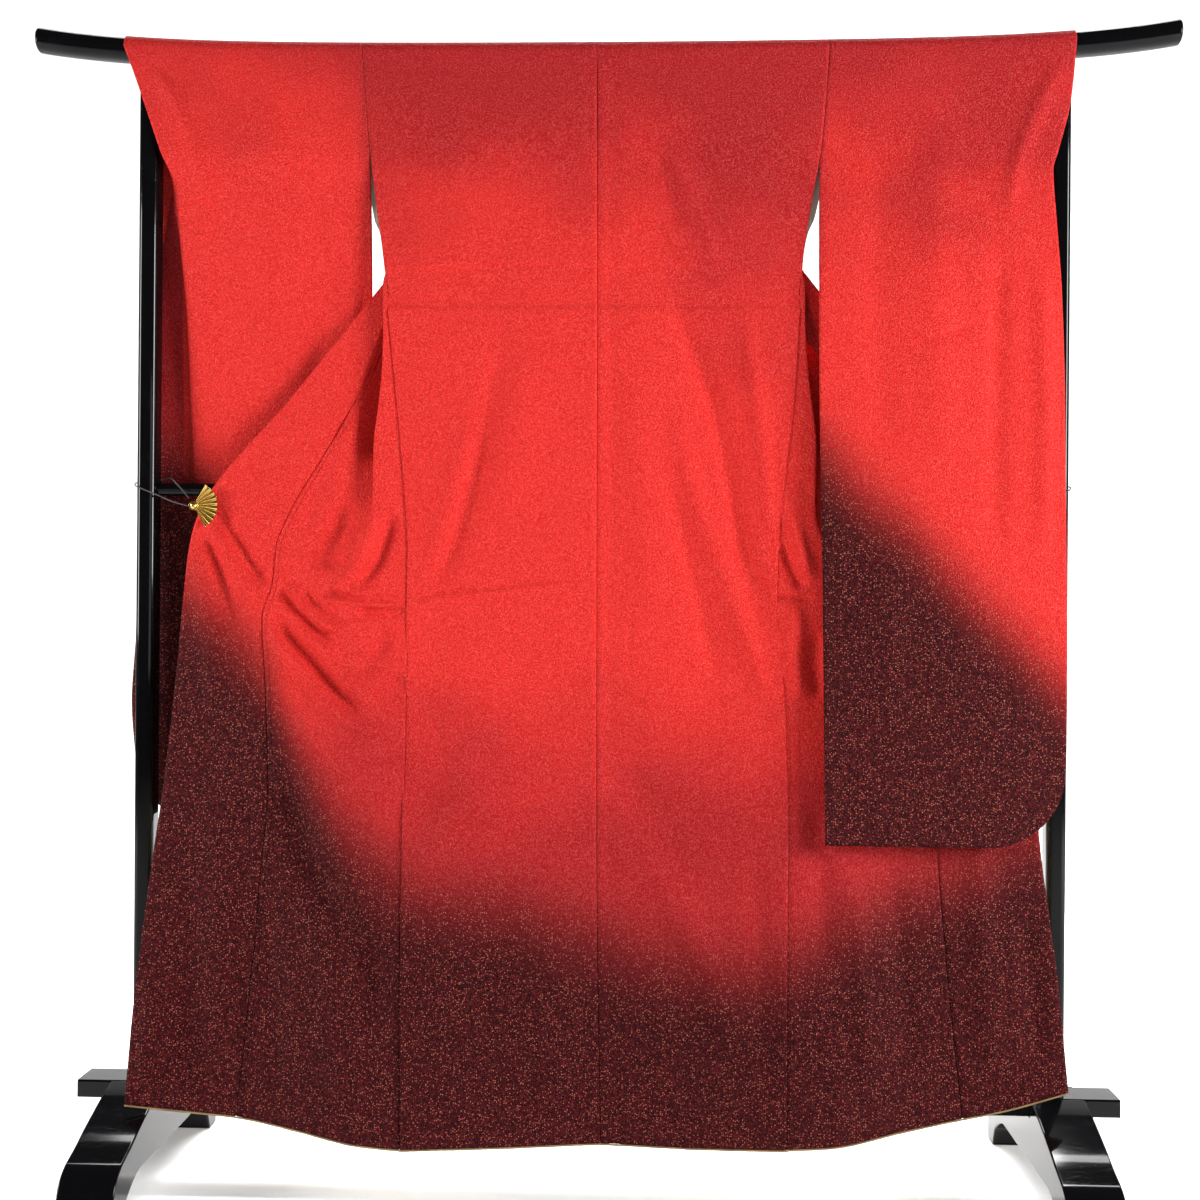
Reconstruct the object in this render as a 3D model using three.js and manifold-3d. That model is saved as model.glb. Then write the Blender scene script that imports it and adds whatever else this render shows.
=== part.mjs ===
// A long-sleeved ceremonial kimono spread on a black lacquered stand, its back to -Y.
// Millimetres, +Z up; the origin is on the floor under the middle of the stand.
// The cloth is a wall of crepe and lining in one, bent through sections at named heights.
import * as THREE from "three";
import { mergeVertices } from "three/addons/utils/BufferGeometryUtils.js";
import Module from "manifold-3d";

const wasm = await Module();
wasm.setup();

// ---------------------------------------------------------------- driving dimensions
const CLOTH = 2; // wall of a garment piece
const SEAM_GAP = 0.3; // between pieces that are sewn together
const SIDE_GAP = 1.5; // at the side seam, where a body length meets itself
const REST_GAP = 0.7; // between the cloth and the bar it hangs on
const BAR = { length: 1598, radius: 17.5, midHeight: 1577.5, sweep: 8, upturn: 20.6, sides: 16, steps: 30 };
const POST = { centre: 635.5, wide: 27, deep: 34, corner: 8 };
const BEAM = { length: 1442, deep: 57, low: 115, high: 140, corner: 3 };
const RAIL = { height: 969, radius: 9, sides: 16 };
const FOOT = { thick: 75 };
const COLLAR = { wide: 55, thick: 3, lowTilt: 2, highTilt: 8, cells: 3, rows: 18, foot: 944 };
const NECK = { radius: 110, half: 88, height: 1540, steps: 5 };
const HEM_ROLL = { high: 4, deep: 3, set: 0.6 };
const CLIP = {
  out: 562, y: -31, height: 944, reach: 34, spread: 2.1, pleats: 9, wall: 1.4, pleat: 1.5,
};
const CORD = { radius: 0.9, sides: 8, steps: 36 };
const SLEEVE = { foot: 490, cornerRadius: 100 };
const WRAP = Math.PI; // the cloth goes half round the bar
const LOWEST = 75; // the level that ends at the hem
const TOP = BAR.midHeight; // the level at the side of the bar
const WRAP_RADIUS = BAR.radius + REST_GAP + CLOTH / 2;
const [LEFT, RIGHT] = [-1, 1];

// A table is a heading of column names and one row for each height, section or fold.
const table = (names, rows) =>
  rows.map((row) => Object.fromEntries(names.map((name, i) => [name, row[i]])));

// ---------------------------------------------------------------- outlines of the garment
// out is a distance from the middle of the stand, to either side.
const CENTRE_SEAM = table(["z", "x"], [[75, 13], [404, 5], [817, 1], [1285, -2], [1590, -5]]);
const HEM = table(["x", "z"], [
  [-627, 132], [-530, 116], [-482, 109], [-393, 94], [-309, 79], [-255, 75], [-123, 73], [13, 76],
  [121, 77], [201, 81], [267, 86], [321, 90], [415, 109], [497, 126], [548, 138], [635, 167],
]);
// The back's own edge: armhole, side opening, then the side seam.
const BACK_EDGE = {
  [LEFT]: table(["z", "out"], [
    [75, 255], [273, 259], [432, 261], [787, 261], [870, 261], [953, 266], [1065, 277], [1205, 292],
    [1286, 300], [1372, 312], [1431, 319], [1512, 327], [1594, 333],
  ]),
  [RIGHT]: table(["z", "out"], [
    [75, 262], [335, 263], [480, 264], [628, 261], [764, 253], [818, 249], [873, 250], [983, 259],
    [1094, 271], [1218, 278], [1285, 282], [1371, 294], [1426, 304], [1512, 312], [1594, 317],
  ]),
};
// Where the front panel meets the overlap panel.
const OVERLAP_SEAM = {
  [LEFT]: table(["z", "out", "y"], [
    [75, 482, -75], [266, 467, -66], [402, 458, -58], [538, 450, -50], [675, 456, -40],
    [785, 463, -33], [834, 450, -30], [887, 446, -26], [911, 438, -24], [951, 420, -20],
    [996, 395, -17], [1052, 361, -13], [1127, 327, -7], [1205, 298, -4], [1256, 282, -1],
    [1300, 262, 1], [1330, 244, 3],
  ]),
  [RIGHT]: table(["z", "out", "y"], [
    [75, 497, -75], [214, 484, -67], [347, 473, -60], [483, 464, -52], [675, 458, -40],
    [785, 463, -33], [834, 450, -30], [887, 446, -26], [911, 438, -24], [951, 420, -20],
    [996, 395, -17], [1052, 361, -13], [1127, 327, -7], [1205, 296, -4], [1256, 282, -1],
    [1300, 262, 1], [1330, 244, 3],
  ]),
};
// The free front edge: a taut straight collar line from the neck to the clip, then the overlap's edge.
const FRONT_EDGE = {
  [LEFT]: table(["z", "out", "y"], [
    [75, 627, -105], [204, 620, -97], [283, 615, -89], [442, 601, -72], [537, 592, -60],
    [674, 582, -46], [812, 574, -34], [854, 571, -30], [896, 566, -27], [944, 550, -24],
    [1100, 428, -13], [1263, 301, -2], [1431, 171, 9], [1500, 117, 14], [1540, 88, 17],
    [1560, 69, 18.5], [1575, 44, 18.9], [1590, 24, 18.9],
  ]),
  [RIGHT]: table(["z", "out", "y"], [
    [75, 635, -85], [250, 622, -76], [349, 612, -68], [423, 604, -62], [516, 597, -54],
    [674, 584, -42], [812, 574, -33], [854, 571, -30], [896, 566, -27], [944, 550, -24],
    [1100, 428, -13], [1253, 303, -2], [1431, 171, 9], [1500, 117, 14], [1540, 88, 17],
    [1560, 69, 18.5], [1575, 44, 18.9], [1590, 24, 18.9],
  ]),
};
// How far the spread cloth stands towards the viewer: at the centre seam, halfway, and at the side.
const BACK_STAND = table(["z", "centre", "half", "side"], [
  [75, -55, -70, -95], [266, -49, -61, -82], [402, -44, -54, -70], [538, -40, -47, -60],
  [675, -35, -41, -49], [783, -31, -36, -40], [872, -28, -31, -33], [981, -26, -28, -26],
  [1091, -24, -25, -22.5], [1285, -22, -22, -20], [1431, -20, -20, -19.5], [1545, -18.9, -18.9, -18.9],
  [1590, -18.9, -18.9, -18.9],
]);
// The front panel's side edge above the side seam swings from behind the bar to the back's edge.
const FREE_SIDE = table(["z", "shift", "y"], [
  [1240, 1.5, -20.6], [1260, 2.5, -20.1], [1278, 2.6, -18.8], [1300, 1.5, -11], [1340, -1, 2],
  [1385, -2, 14], [1431, 0, 19.8], [1590, 0, 18.9],
]);
// One row for each section of the deep fold in the front panel. lip, inner and outer are measured
// outwards from the back's edge: cloth runs out to the lip, turns back behind the body to inner,
// turns again at outer and comes forward to the overlap seam. Low down it lies open and flat.
const DEEP_FOLD = table(["z", "lip", "lipY", "inner", "innerY", "outer", "outerY"], [
  [75, 75, -92, 110, -88, 150, -82], [266, 71, -79, 106, -76, 141, -72],
  [402, 66, -68, 99, -65, 134, -62], [538, 64, -58, 97, -56, 131, -53],
  [675, 67, -49, 99, -47, 134, -44], [783, 68, -42, 99, -40, 134, -38],
  [841, 68, -40, 96, -37, 124, -33], [880, 62, -38, 84, -34, 106, -28],
  [930, 47, -33, 52, -27, 70, -20], [981, 42, -29, 18, -20, 20, -13.5],
  [1036, 36, -27, -10, -13, -12, -2], [1091, 24, -25, -36, -9, -38, 4],
  [1140, 15, -23, -61, -8, -64, 7], [1200, 8, -21, -83, -7, -87, 8],
  [1256, 4, -17.5, -102, -8, -107, 6], [1278, -3, -14, -112, -8, -118, 5],
  [1300, -8, -9.5, -121, -8, -127, 4], [1340, -12, -2, -137, -8, -143, 4],
  [1385, -17, 10, -157, -6, -164, 6], [1431, -22, 18, -181, -3, -190, 5],
  [1465, -29, 19, -156, -3, -174, 3], [1500, -42, 19.5, -144, 10, -168, 9],
  [1530, -52, 19.5, -140, 19, -170, 17], [1590, -66, 18.9, -136, 18.9, -201, 18.9],
]);
// Broad creases of the spread cloth, from one end to the other, as low ridges (-) and troughs (+).
const CREASES = table(["x0", "z0", "x1", "z1", "half", "push"], [
  [-130, 1260, -205, 870, 34, -5], [-60, 1190, -120, 820, 40, 4], [85, 1420, 235, 900, 38, -5],
  [170, 1200, 235, 800, 26, 4], [40, 620, 190, 380, 34, -4], [-60, 560, -200, 330, 34, 4],
  [-545, 930, -395, 640, 20, -5], [-520, 905, -330, 600, 18, 4], [-420, 840, -290, 800, 16, -4],
  [-350, 780, -330, 700, 34, 5], [-560, 880, -500, 420, 26, -4], [545, 930, 395, 640, 20, -5],
  [520, 905, 330, 600, 18, 4], [350, 760, 300, 560, 24, -5], [-600, 300, -560, 140, 20, 4],
  [420, 420, 380, 130, 30, 4], [-380, 520, -330, 110, 34, -4], [130, 330, 150, 90, 30, -4],
]);
// Sleeves, seen as sections across: inner edge, the place where the cloth turns, and the outer edge.
const SLEEVE_NEAR = {
  [LEFT]: table(["z", "in", "inY", "fold", "foldY", "turn", "turnY", "out", "outY"], [
    [490, 320, 22, 470, 25, 580, 26, 652, 26], [588, 320, 21, 500, 22, 600, 26, 661, 26],
    [669, 320, 20, 560, 20, 605, 25, 667, 26], [741, 320, 18, 575, 18, 604, 25, 663, 26],
    [827, 320, 18, 577, 18, 600, 25, 656, 26], [969, 321, 16, 574, 17, 590, 23, 653, 25],
    [1036, 321, 14, 575, 14, 586, 22, 650, 24], [1125, 321, 13, 577, 6, 586, 18, 647, 24],
    [1223, 321, 10, 581, 1, 590, 15, 641, 23.5], [1307, 320, 0, 588, -4, 596, 8, 629, 23.5],
    [1362, 320, -7, 590, -8, 600, -2, 612, 9], [1402, 320, -13, 560, -13, 588, -11, 603, -4],
    [1443, 321, -18.9, 560, -19, 595, -20, 617, -20.5],
    [1507, 327.3, -18.9, 560, -19, 610, -20, 639, -20.5],
    [1594, 333.3, -18.9, 560, -18.9, 625, -18.9, 671, -18.9],
  ]),
  [RIGHT]: table(["z", "in", "inY", "fold", "foldY", "turn", "turnY", "out", "outY"], [
    [490, 311, -86, 420, -86, 530, -85, 628, -80.5], [605, 310, -79, 420, -80, 530, -80, 631, -76],
    [686, 309, -73, 420, -75, 530, -75, 633, -70], [821, 308, -61, 420, -64, 530, -64, 635, -59],
    [1094, 304, -40, 420, -44, 530, -44, 635, -41], [1238, 303, -32, 420, -34, 530, -35, 632, -33],
    [1330, 302.5, -28, 420, -30, 530, -31, 626, -29], [1409, 303.5, -21, 420, -24, 530, -26, 621, -26],
    [1438, 304.5, -19.6, 420, -21, 540, -22, 629, -23], [1504, 311.5, -18.9, 420, -19, 570, -20, 646, -21],
    [1594, 317.3, -18.9, 420, -18.9, 560, -18.9, 655, -18.9],
  ]),
};
const SLEEVE_FAR = {
  [LEFT]: table(["z", "inY", "foldY", "turnY", "out", "outY"], [
    [490, 24.4, 28, 28.8, 652, 28.4], [588, 29, 36, 35, 661, 28.4], [741, 34, 42, 40, 663, 28.4],
    [969, 34, 42, 40, 653, 27.4], [1125, 33, 40, 38, 647, 26.4], [1223, 30, 35, 33, 641, 25.9],
    [1307, 25, 28, 28, 629, 25.9], [1362, 22, 22, 20, 612, 14], [1402, 21, 19, 14, 603, 2],
    [1450, 19.8, 19, 19, 617, 20], [1507, 19, 19, 20, 637, 20], [1594, 18.9, 18.9, 18.9, 668, 18.9],
  ]),
  [RIGHT]: table(["z", "inY", "foldY", "turnY", "out", "outY"], [
    [490, -83.2, -82.4, -80.5, 628, -77.6], [605, -72, -72, -72, 631, -73.6],
    [686, -65, -65, -65, 633, -67.6],
    [821, -51, -53, -54, 635, -56.6], [1094, -30, -32, -34, 635, -38.6], [1238, -21, -22, -26, 631, -30.6],
    [1330, -6, -6, -14, 624, -26.6], [1372, 8, 8, 4, 618, -24.6], [1409, 17, 17, 14, 615, -22],
    [1455, 19.6, 19, 20, 616, 18], [1504, 19, 19, 20, 642, 20.5], [1594, 18.9, 18.9, 18.9, 653, 18.9],
  ]),
};
// The foot's side view: half of the outline, from the middle outwards; bow bends a stretch.
const FOOT_HALF = table(["y", "z"], [
  [28.8, 140], [60, 132], [95, 120], [130, 107], [158, 95], [178, 88], [194, 82], [208, 73],
  [217, 62], [223, 48], [226, 32], [226, 18], [224, 0], [190, 0], [187.5, 8], [183, 18],
  [176, 29], [165, 37], [150, 45], [137, 50], [124, 53],
]);

// ---------------------------------------------------------------- reading the tables
// A smooth reading of one column between its rows, which never swings past them.
function read(rows, column, at, key = "z") {
  const last = rows.length - 1;
  if (at <= rows[0][key]) return rows[0][column];
  if (at >= rows[last][key]) return rows[last][column];
  const i = rows.findIndex((row) => row[key] > at) - 1;
  const slope = (k) => (rows[k + 1][column] - rows[k][column]) / (rows[k + 1][key] - rows[k][key]);
  const tangent = (k) => {
    if (k === 0 || k === last) return slope(Math.min(k, last - 1));
    const [before, after] = [slope(k - 1), slope(k)];
    return before * after <= 0 ? 0 : (2 * before * after) / (before + after);
  };
  const span = rows[i + 1][key] - rows[i][key];
  const t = (at - rows[i][key]) / span;
  const [t2, t3] = [t * t, t * t * t];
  return (
    (2 * t3 - 3 * t2 + 1) * rows[i][column] +
    (t3 - 2 * t2 + t) * span * tangent(i) +
    (3 * t2 - 2 * t3) * rows[i + 1][column] +
    (t3 - t2) * span * tangent(i + 1)
  );
}
const { lerp, smoothstep } = THREE.MathUtils;

// Height of the bar's centre line, which rises towards its upturned ends.
function barHeight(x) {
  const r = Math.abs(x) / (BAR.length / 2);
  return BAR.midHeight + BAR.sweep * r ** 2 + BAR.upturn * r ** 6;
}
// The true height of a level at x: level 75 runs along the hem, the top one along the bar.
function heightAt(level, x) {
  const toHem = Math.max(0, (1300 - level) / (1300 - LOWEST)) ** 2;
  const toBar = smoothstep(level, 1431, TOP);
  return level + toHem * (read(HEM, "z", x, "x") - LOWEST) + toBar * (barHeight(x) - TOP);
}
// Sum of the broad creases at a place on the spread cloth; none near the bar.
function creaseAt(x, z) {
  let sum = 0;
  for (const { x0, z0, x1, z1, half, push } of CREASES) {
    const [dx, dz] = [x1 - x0, z1 - z0];
    const along = ((x - x0) * dx + (z - z0) * dz) / (dx * dx + dz * dz);
    const t = THREE.MathUtils.clamp(along, 0, 1);
    const away = Math.hypot(x - x0 - t * dx, z - z0 - t * dz) / half;
    const fade = smoothstep(along, -0.1, 0.25) * (1 - smoothstep(along, 0.75, 1.1));
    sum += push * fade * Math.exp(-away * away);
  }
  return sum * (1 - smoothstep(z, 1450, 1540));
}

// ---------------------------------------------------------------- solids from grids and shapes
function solidFrom(positions, indices) {
  const g = new THREE.BufferGeometry();
  g.setAttribute("position", new THREE.Float32BufferAttribute(positions, 3));
  g.setIndex(indices);
  let volume = 0;
  const [a, b, c] = [new THREE.Vector3(), new THREE.Vector3(), new THREE.Vector3()];
  for (let i = 0; i < indices.length; i += 3) {
    [a, b, c].forEach((v, k) => v.fromBufferAttribute(g.attributes.position, indices[i + k]));
    volume += a.dot(b.cross(c));
  }
  if (volume < 0) g.setIndex([...indices].reverse());
  g.computeVertexNormals();
  return g;
}
// A closed wall of even thickness through a grid of points on its middle surface.
function wall(grid, thick = CLOTH) {
  const [rows, columns] = [grid.length, grid[0].length];
  const positions = [];
  const indices = [];
  // Direction of the cloth at a point, halved between the stretches before and after it.
  const along = (before, at, after) => {
    const sum = new THREE.Vector3();
    if (before) sum.add(at.clone().sub(before).normalize());
    if (after) sum.add(after.clone().sub(at).normalize());
    return sum;
  };
  for (const side of [0.5, -0.5])
    for (let v = 0; v < rows; v++)
      for (let u = 0; u < columns; u++) {
        const across = along(grid[v][u - 1], grid[v][u], grid[v][u + 1]);
        const down = along(grid[v - 1]?.[u], grid[v][u], grid[v + 1]?.[u]);
        const normal = across.cross(down).normalize();
        positions.push(...grid[v][u].clone().addScaledVector(normal, side * thick).toArray());
      }
  const at = (v, u, side) => side * rows * columns + v * columns + u;
  const quad = (a, b, c, d) => indices.push(a, b, c, a, c, d);
  for (let v = 0; v < rows - 1; v++)
    for (let u = 0; u < columns - 1; u++) {
      quad(at(v, u, 0), at(v, u + 1, 0), at(v + 1, u + 1, 0), at(v + 1, u, 0));
      quad(at(v, u, 1), at(v + 1, u, 1), at(v + 1, u + 1, 1), at(v, u + 1, 1));
    }
  const rim = [
    ...Array.from({ length: columns - 1 }, (_, u) => [0, u]),
    ...Array.from({ length: rows - 1 }, (_, v) => [v, columns - 1]),
    ...Array.from({ length: columns - 1 }, (_, u) => [rows - 1, columns - 1 - u]),
    ...Array.from({ length: rows - 1 }, (_, v) => [rows - 1 - v, 0]),
  ];
  rim.forEach(([v, u], i) => {
    const [nextV, nextU] = rim[(i + 1) % rim.length];
    quad(at(v, u, 0), at(v, u, 1), at(nextV, nextU, 1), at(nextV, nextU, 0));
  });
  return solidFrom(positions, indices);
}
// A closed tube with flat ends through a list of closed sections.
function loft(sections) {
  const sides = sections[0].length;
  const positions = sections.flat().flatMap((p) => p.toArray());
  const indices = [];
  for (let s = 0; s < sections.length - 1; s++)
    for (let k = 0; k < sides; k++) {
      const [a, b] = [s * sides + k, s * sides + ((k + 1) % sides)];
      indices.push(a, b, b + sides, a, b + sides, a + sides);
    }
  const end = (sections.length - 1) * sides;
  for (let k = 1; k < sides - 1; k++) {
    indices.push(0, k + 1, k);
    indices.push(end, end + k, end + k + 1);
  }
  return solidFrom(positions, indices);
}
// Joining and cutting need one merged position for each corner.
function toManifold(geometry) {
  const bare = geometry.clone();
  bare.deleteAttribute("normal");
  bare.deleteAttribute("uv");
  const merged = mergeVertices(bare, 1e-3);
  const vertProperties = merged.attributes.position.array;
  const triVerts = new Uint32Array(merged.index.array);
  return new wasm.Manifold(new wasm.Mesh({ numProp: 3, vertProperties, triVerts }));
}
function fromManifold(solid) {
  const { vertProperties, triVerts } = solid.getMesh();
  const g = new THREE.BufferGeometry();
  g.setAttribute("position", new THREE.Float32BufferAttribute(vertProperties, 3));
  g.setIndex([...triVerts]);
  g.computeVertexNormals();
  return g;
}
function roundedRectangle(wide, high, corner) {
  const [w, h] = [wide / 2, high / 2];
  const shape = new THREE.Shape();
  shape.moveTo(-w + corner, -h);
  shape.absarc(w - corner, -h + corner, corner, -Math.PI / 2, 0, false);
  shape.absarc(w - corner, h - corner, corner, 0, Math.PI / 2, false);
  shape.absarc(-w + corner, h - corner, corner, Math.PI / 2, Math.PI, false);
  shape.absarc(-w + corner, -h + corner, corner, Math.PI, Math.PI * 1.5, false);
  return shape;
}

// ---------------------------------------------------------------- finishes
const finish = (color, roughness, metalness = 0) =>
  new THREE.MeshStandardMaterial({ color, roughness, metalness });
const SILK = finish(0xc8303a, 0.55);
const HEM_SILK = finish(0xb08a3c, 0.6);
const LACQUER = finish(0x0a0a0c, 0.12);
const GILT = finish(0xc89b3a, 0.3, 0.9);
const ELASTIC = finish(0x1a1618, 0.8);

const kimono = new THREE.Group();
const stand = new THREE.Group();
function add(group, name, geometry, material) {
  const mesh = new THREE.Mesh(geometry, material);
  mesh.name = name;
  group.add(mesh);
  return mesh;
}
const sideName = (side) => (side === LEFT ? "left" : "right");

// ---------------------------------------------------------------- body: one length over the bar
const BACK_LEVELS = [75, 105, 160, 230, 310, 390, 470, 550, 630, 700, 770, 840, 910, 980, 1060, 1140,
  1215, 1276, 1350, 1431, 1500, 1550];
const FRONT_LEVELS = [1555, 1530, 1500, 1482, 1465, 1448, 1431, 1405, 1380, 1350, 1318, 1299, 1288,
  1278, 1267, 1256, 1228, 1200, 1170, 1140, 1115, 1090, 1063, 1036, 1010, 985, 958, 930, 908, 884,
  860, 832, 785, 725, 660, 590, 510, 430, 350, 270, 190, 120, 75];
const WRAP_STEPS = 8;
// Columns between the bends: seam to outer, to inner, to the lip's back, to the lip, to the side.
const STRETCH_CELLS = [4, 2, 2, 2, 2];
const BODY_CELLS = STRETCH_CELLS.reduce((sum, cells) => sum + cells);
const OVERLAP_CELLS = 4;
const OVERLAP_TIP = 1322;
const LIP_TURN = 5; // depth of the turn at the lip where the cloth is folded right back

// The back's edge and its stand run straight between the back's own rows, so that the front's
// closer rows follow them exactly along the side seam.
function betweenRows(rows, column, level) {
  const above = BACK_LEVELS.findIndex((row) => row >= level);
  if (above <= 0) return read(rows, column, level);
  const [low, high] = [BACK_LEVELS[above - 1], BACK_LEVELS[above]];
  return lerp(read(rows, column, low), read(rows, column, high), (level - low) / (high - low));
}
const backEdge = (side, level) => betweenRows(BACK_EDGE[side], "out", level);
// The back's middle surface: u runs from the centre seam to the side.
function backPoint(side, u, level) {
  const seam = read(CENTRE_SEAM, "x", level) + (side * SEAM_GAP) / 2;
  const x = lerp(seam, side * backEdge(side, level), u);
  const z = heightAt(level, x);
  const [c, h, s] = ["centre", "half", "side"].map((name) => read(BACK_STAND, name, level));
  const y = c * (2 * u - 1) * (u - 1) + h * 4 * u * (1 - u) + s * u * (2 * u - 1);
  return new THREE.Vector3(x, y + creaseAt(x, z), z);
}
// The opened front's section at a level, as bend points from its free edge to the back's side edge,
// with the number of the bend that is the overlap seam; above the overlap's tip there is none.
function frontBends(side, level) {
  const edge = backEdge(side, level);
  const free = level > FREE_SIDE[0].z;
  const sideOut = free ? edge + read(FREE_SIDE, "shift", level) : edge + SIDE_GAP;
  const sideY = free ? read(FREE_SIDE, "y", level) : betweenRows(BACK_STAND, "side", level);
  const fold = (name) => read(DEEP_FOLD, name, level);
  const pair = (rows) => [read(rows, "out", level), read(rows, "y", level)];
  const turned = smoothstep(level, 900, 1000) * (1 - smoothstep(level, 1340, 1480));
  const share = lerp(0.35, 0.1, turned);
  const overlapping = level < OVERLAP_TIP;
  return {
    seam: overlapping ? 1 : 0,
    bends: [
      pair(FRONT_EDGE[side]),
      ...(overlapping ? [pair(OVERLAP_SEAM[side])] : []),
      [edge + fold("outer"), fold("outerY")],
      [edge + fold("inner"), fold("innerY")],
      [
        edge + lerp(fold("lip"), fold("inner"), share),
        lerp(fold("lipY"), fold("innerY"), share) + LIP_TURN * turned,
      ],
      [edge + fold("lip"), fold("lipY")],
      [sideOut, sideY],
    ],
  };
}
function smoothCurve(side, bends) {
  const points = bends.map(([out, y]) => new THREE.Vector3(side * out, y, 0));
  const curve = new THREE.CatmullRomCurve3(points, false, "centripetal");
  curve.arcLengthDivisions = 120;
  return curve;
}
function frontPoint(side, level, p) {
  const z = heightAt(level, p.x);
  const open = 1 - smoothstep(level, 900, 1000);
  return new THREE.Vector3(p.x, p.y + creaseAt(p.x, z) * open, z);
}
// The front panel's row: a set number of columns for each stretch between two bends.
function frontRow(side, level) {
  const { bends, seam } = frontBends(side, level);
  const curve = smoothCurve(side, bends);
  const last = bends.length - 1;
  const points = STRETCH_CELLS.flatMap((cells, k) =>
    Array.from({ length: cells }, (_, i) => curve.getPoint((seam + k + i / cells) / last)));
  points.push(curve.getPoint(1));
  if (seam) points[0] = pastSeam(curve, seam / last, 1);
  return points.map((p) => frontPoint(side, level, p));
}
// Half a seam's gap along the section from the seam, towards the side (1) or the free edge (-1).
function pastSeam(curve, t, way) {
  const at = curve.getPoint(t);
  const next = curve.getPoint(t + way * 0.01);
  return at.clone().addScaledVector(next.sub(at).normalize(), SEAM_GAP / 2);
}
// The overlap's row, from its free edge to the seam.
function overlapRow(side, level) {
  const { bends, seam } = frontBends(side, level);
  const curve = smoothCurve(side, bends);
  const toSeam = seam / (bends.length - 1);
  const points = Array.from({ length: OVERLAP_CELLS }, (_, k) =>
    curve.getPoint((toSeam * k) / OVERLAP_CELLS));
  points.push(pastSeam(curve, toSeam, -1));
  return points.map((p) => frontPoint(side, level, p));
}
// Rows that go over the bar from the near face to the far one.
function wrapRows(near, far, steps) {
  const rows = [];
  for (let k = 0; k <= steps; k++) {
    const angle = (WRAP * k) / steps;
    const turn = smoothstep(k / steps, 0.7, 1);
    rows.push(near.map((p, u) => {
      const x = lerp(p.x, far[u].x, turn);
      const [y, z] = [-WRAP_RADIUS * Math.cos(angle), WRAP_RADIUS * Math.sin(angle)];
      return new THREE.Vector3(x, y, barHeight(x) + z);
    }));
  }
  return rows;
}
for (const side of [LEFT, RIGHT]) {
  const back = BACK_LEVELS.map((level) =>
    Array.from({ length: BODY_CELLS + 1 }, (_, u) => backPoint(side, u / BODY_CELLS, level)));
  const nearTop = Array.from({ length: BODY_CELLS + 1 }, (_, u) => backPoint(side, u / BODY_CELLS, TOP));
  const farTop = frontRow(side, TOP);
  const front = FRONT_LEVELS.map((level) => frontRow(side, level));
  const grid = [...back, ...wrapRows(nearTop, farTop, WRAP_STEPS), ...front];
  add(kimono, "body_" + sideName(side), wall(grid), SILK);
}

// ---------------------------------------------------------------- overlap panels
const OVERLAP_LEVELS = FRONT_LEVELS.filter((level) => level < OVERLAP_TIP);
for (const side of [LEFT, RIGHT]) {
  const grid = OVERLAP_LEVELS.map((level) => overlapRow(side, level));
  add(kimono, "overlap_" + sideName(side), wall(grid), SILK);
}

// ---------------------------------------------------------------- collar
// A folded band behind the front edges, from one clip up round the neck to the other.
function collarLine(side) {
  const heights = Array.from({ length: COLLAR.rows }, (_, k) =>
    lerp(COLLAR.foot, NECK.height, k / (COLLAR.rows - 1)));
  const straight = heights.map((z) => new THREE.Vector3(
    side * read(FRONT_EDGE[side], "out", z), read(FRONT_EDGE[side], "y", z), z));
  const open = Math.asin(NECK.half / NECK.radius);
  const neckFoot = NECK.height - NECK.radius * Math.cos(open);
  const arc = Array.from({ length: NECK.steps }, (_, k) => {
    const angle = open * (1 - (k + 1) / NECK.steps);
    const z = neckFoot + NECK.radius * Math.cos(angle);
    return new THREE.Vector3(side * NECK.radius * Math.sin(angle), read(FRONT_EDGE[side], "y", z), z);
  });
  return [...straight, ...arc];
}
const collarPath = [...collarLine(LEFT), ...collarLine(RIGHT).reverse().slice(1)];
const collarBehind = (CLOTH + COLLAR.thick) / 2 + SEAM_GAP + 0.3;
const collarGrid = collarPath.map((p, i) => {
  const before = collarPath[Math.max(0, i - 1)];
  const after = collarPath[Math.min(collarPath.length - 1, i + 1)];
  const run = after.clone().sub(before).normalize();
  const across = new THREE.Vector3(0, 1, 0).cross(run).normalize();
  return Array.from({ length: COLLAR.cells + 1 }, (_, u) => {
    const t = u / COLLAR.cells;
    const q = p.clone().addScaledVector(across, COLLAR.wide * t);
    q.y = p.y + collarBehind + t * lerp(COLLAR.lowTilt, COLLAR.highTilt, smoothstep(p.z, 1050, 1256));
    return q;
  });
});
add(kimono, "collar", wall(collarGrid, COLLAR.thick), SILK);

// ---------------------------------------------------------------- sleeves
const NEAR_LEVELS = [
  0, 0.06, 0.13, 0.2, 0.28, 0.36, 0.44, 0.52, 0.59, 0.66, 0.72, 0.77, 0.82, 0.86, 0.9, 0.95,
];
const FAR_LEVELS = [0, 0.08, 0.17, 0.27, 0.38, 0.49, 0.59, 0.67, 0.73, 0.78, 0.82, 0.86, 0.9, 0.95];
const SLEEVE_COLUMNS = [0, 0.18, 0.36, 0.53, 0.67, 0.78, 0.87, 0.94, 1];

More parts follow.
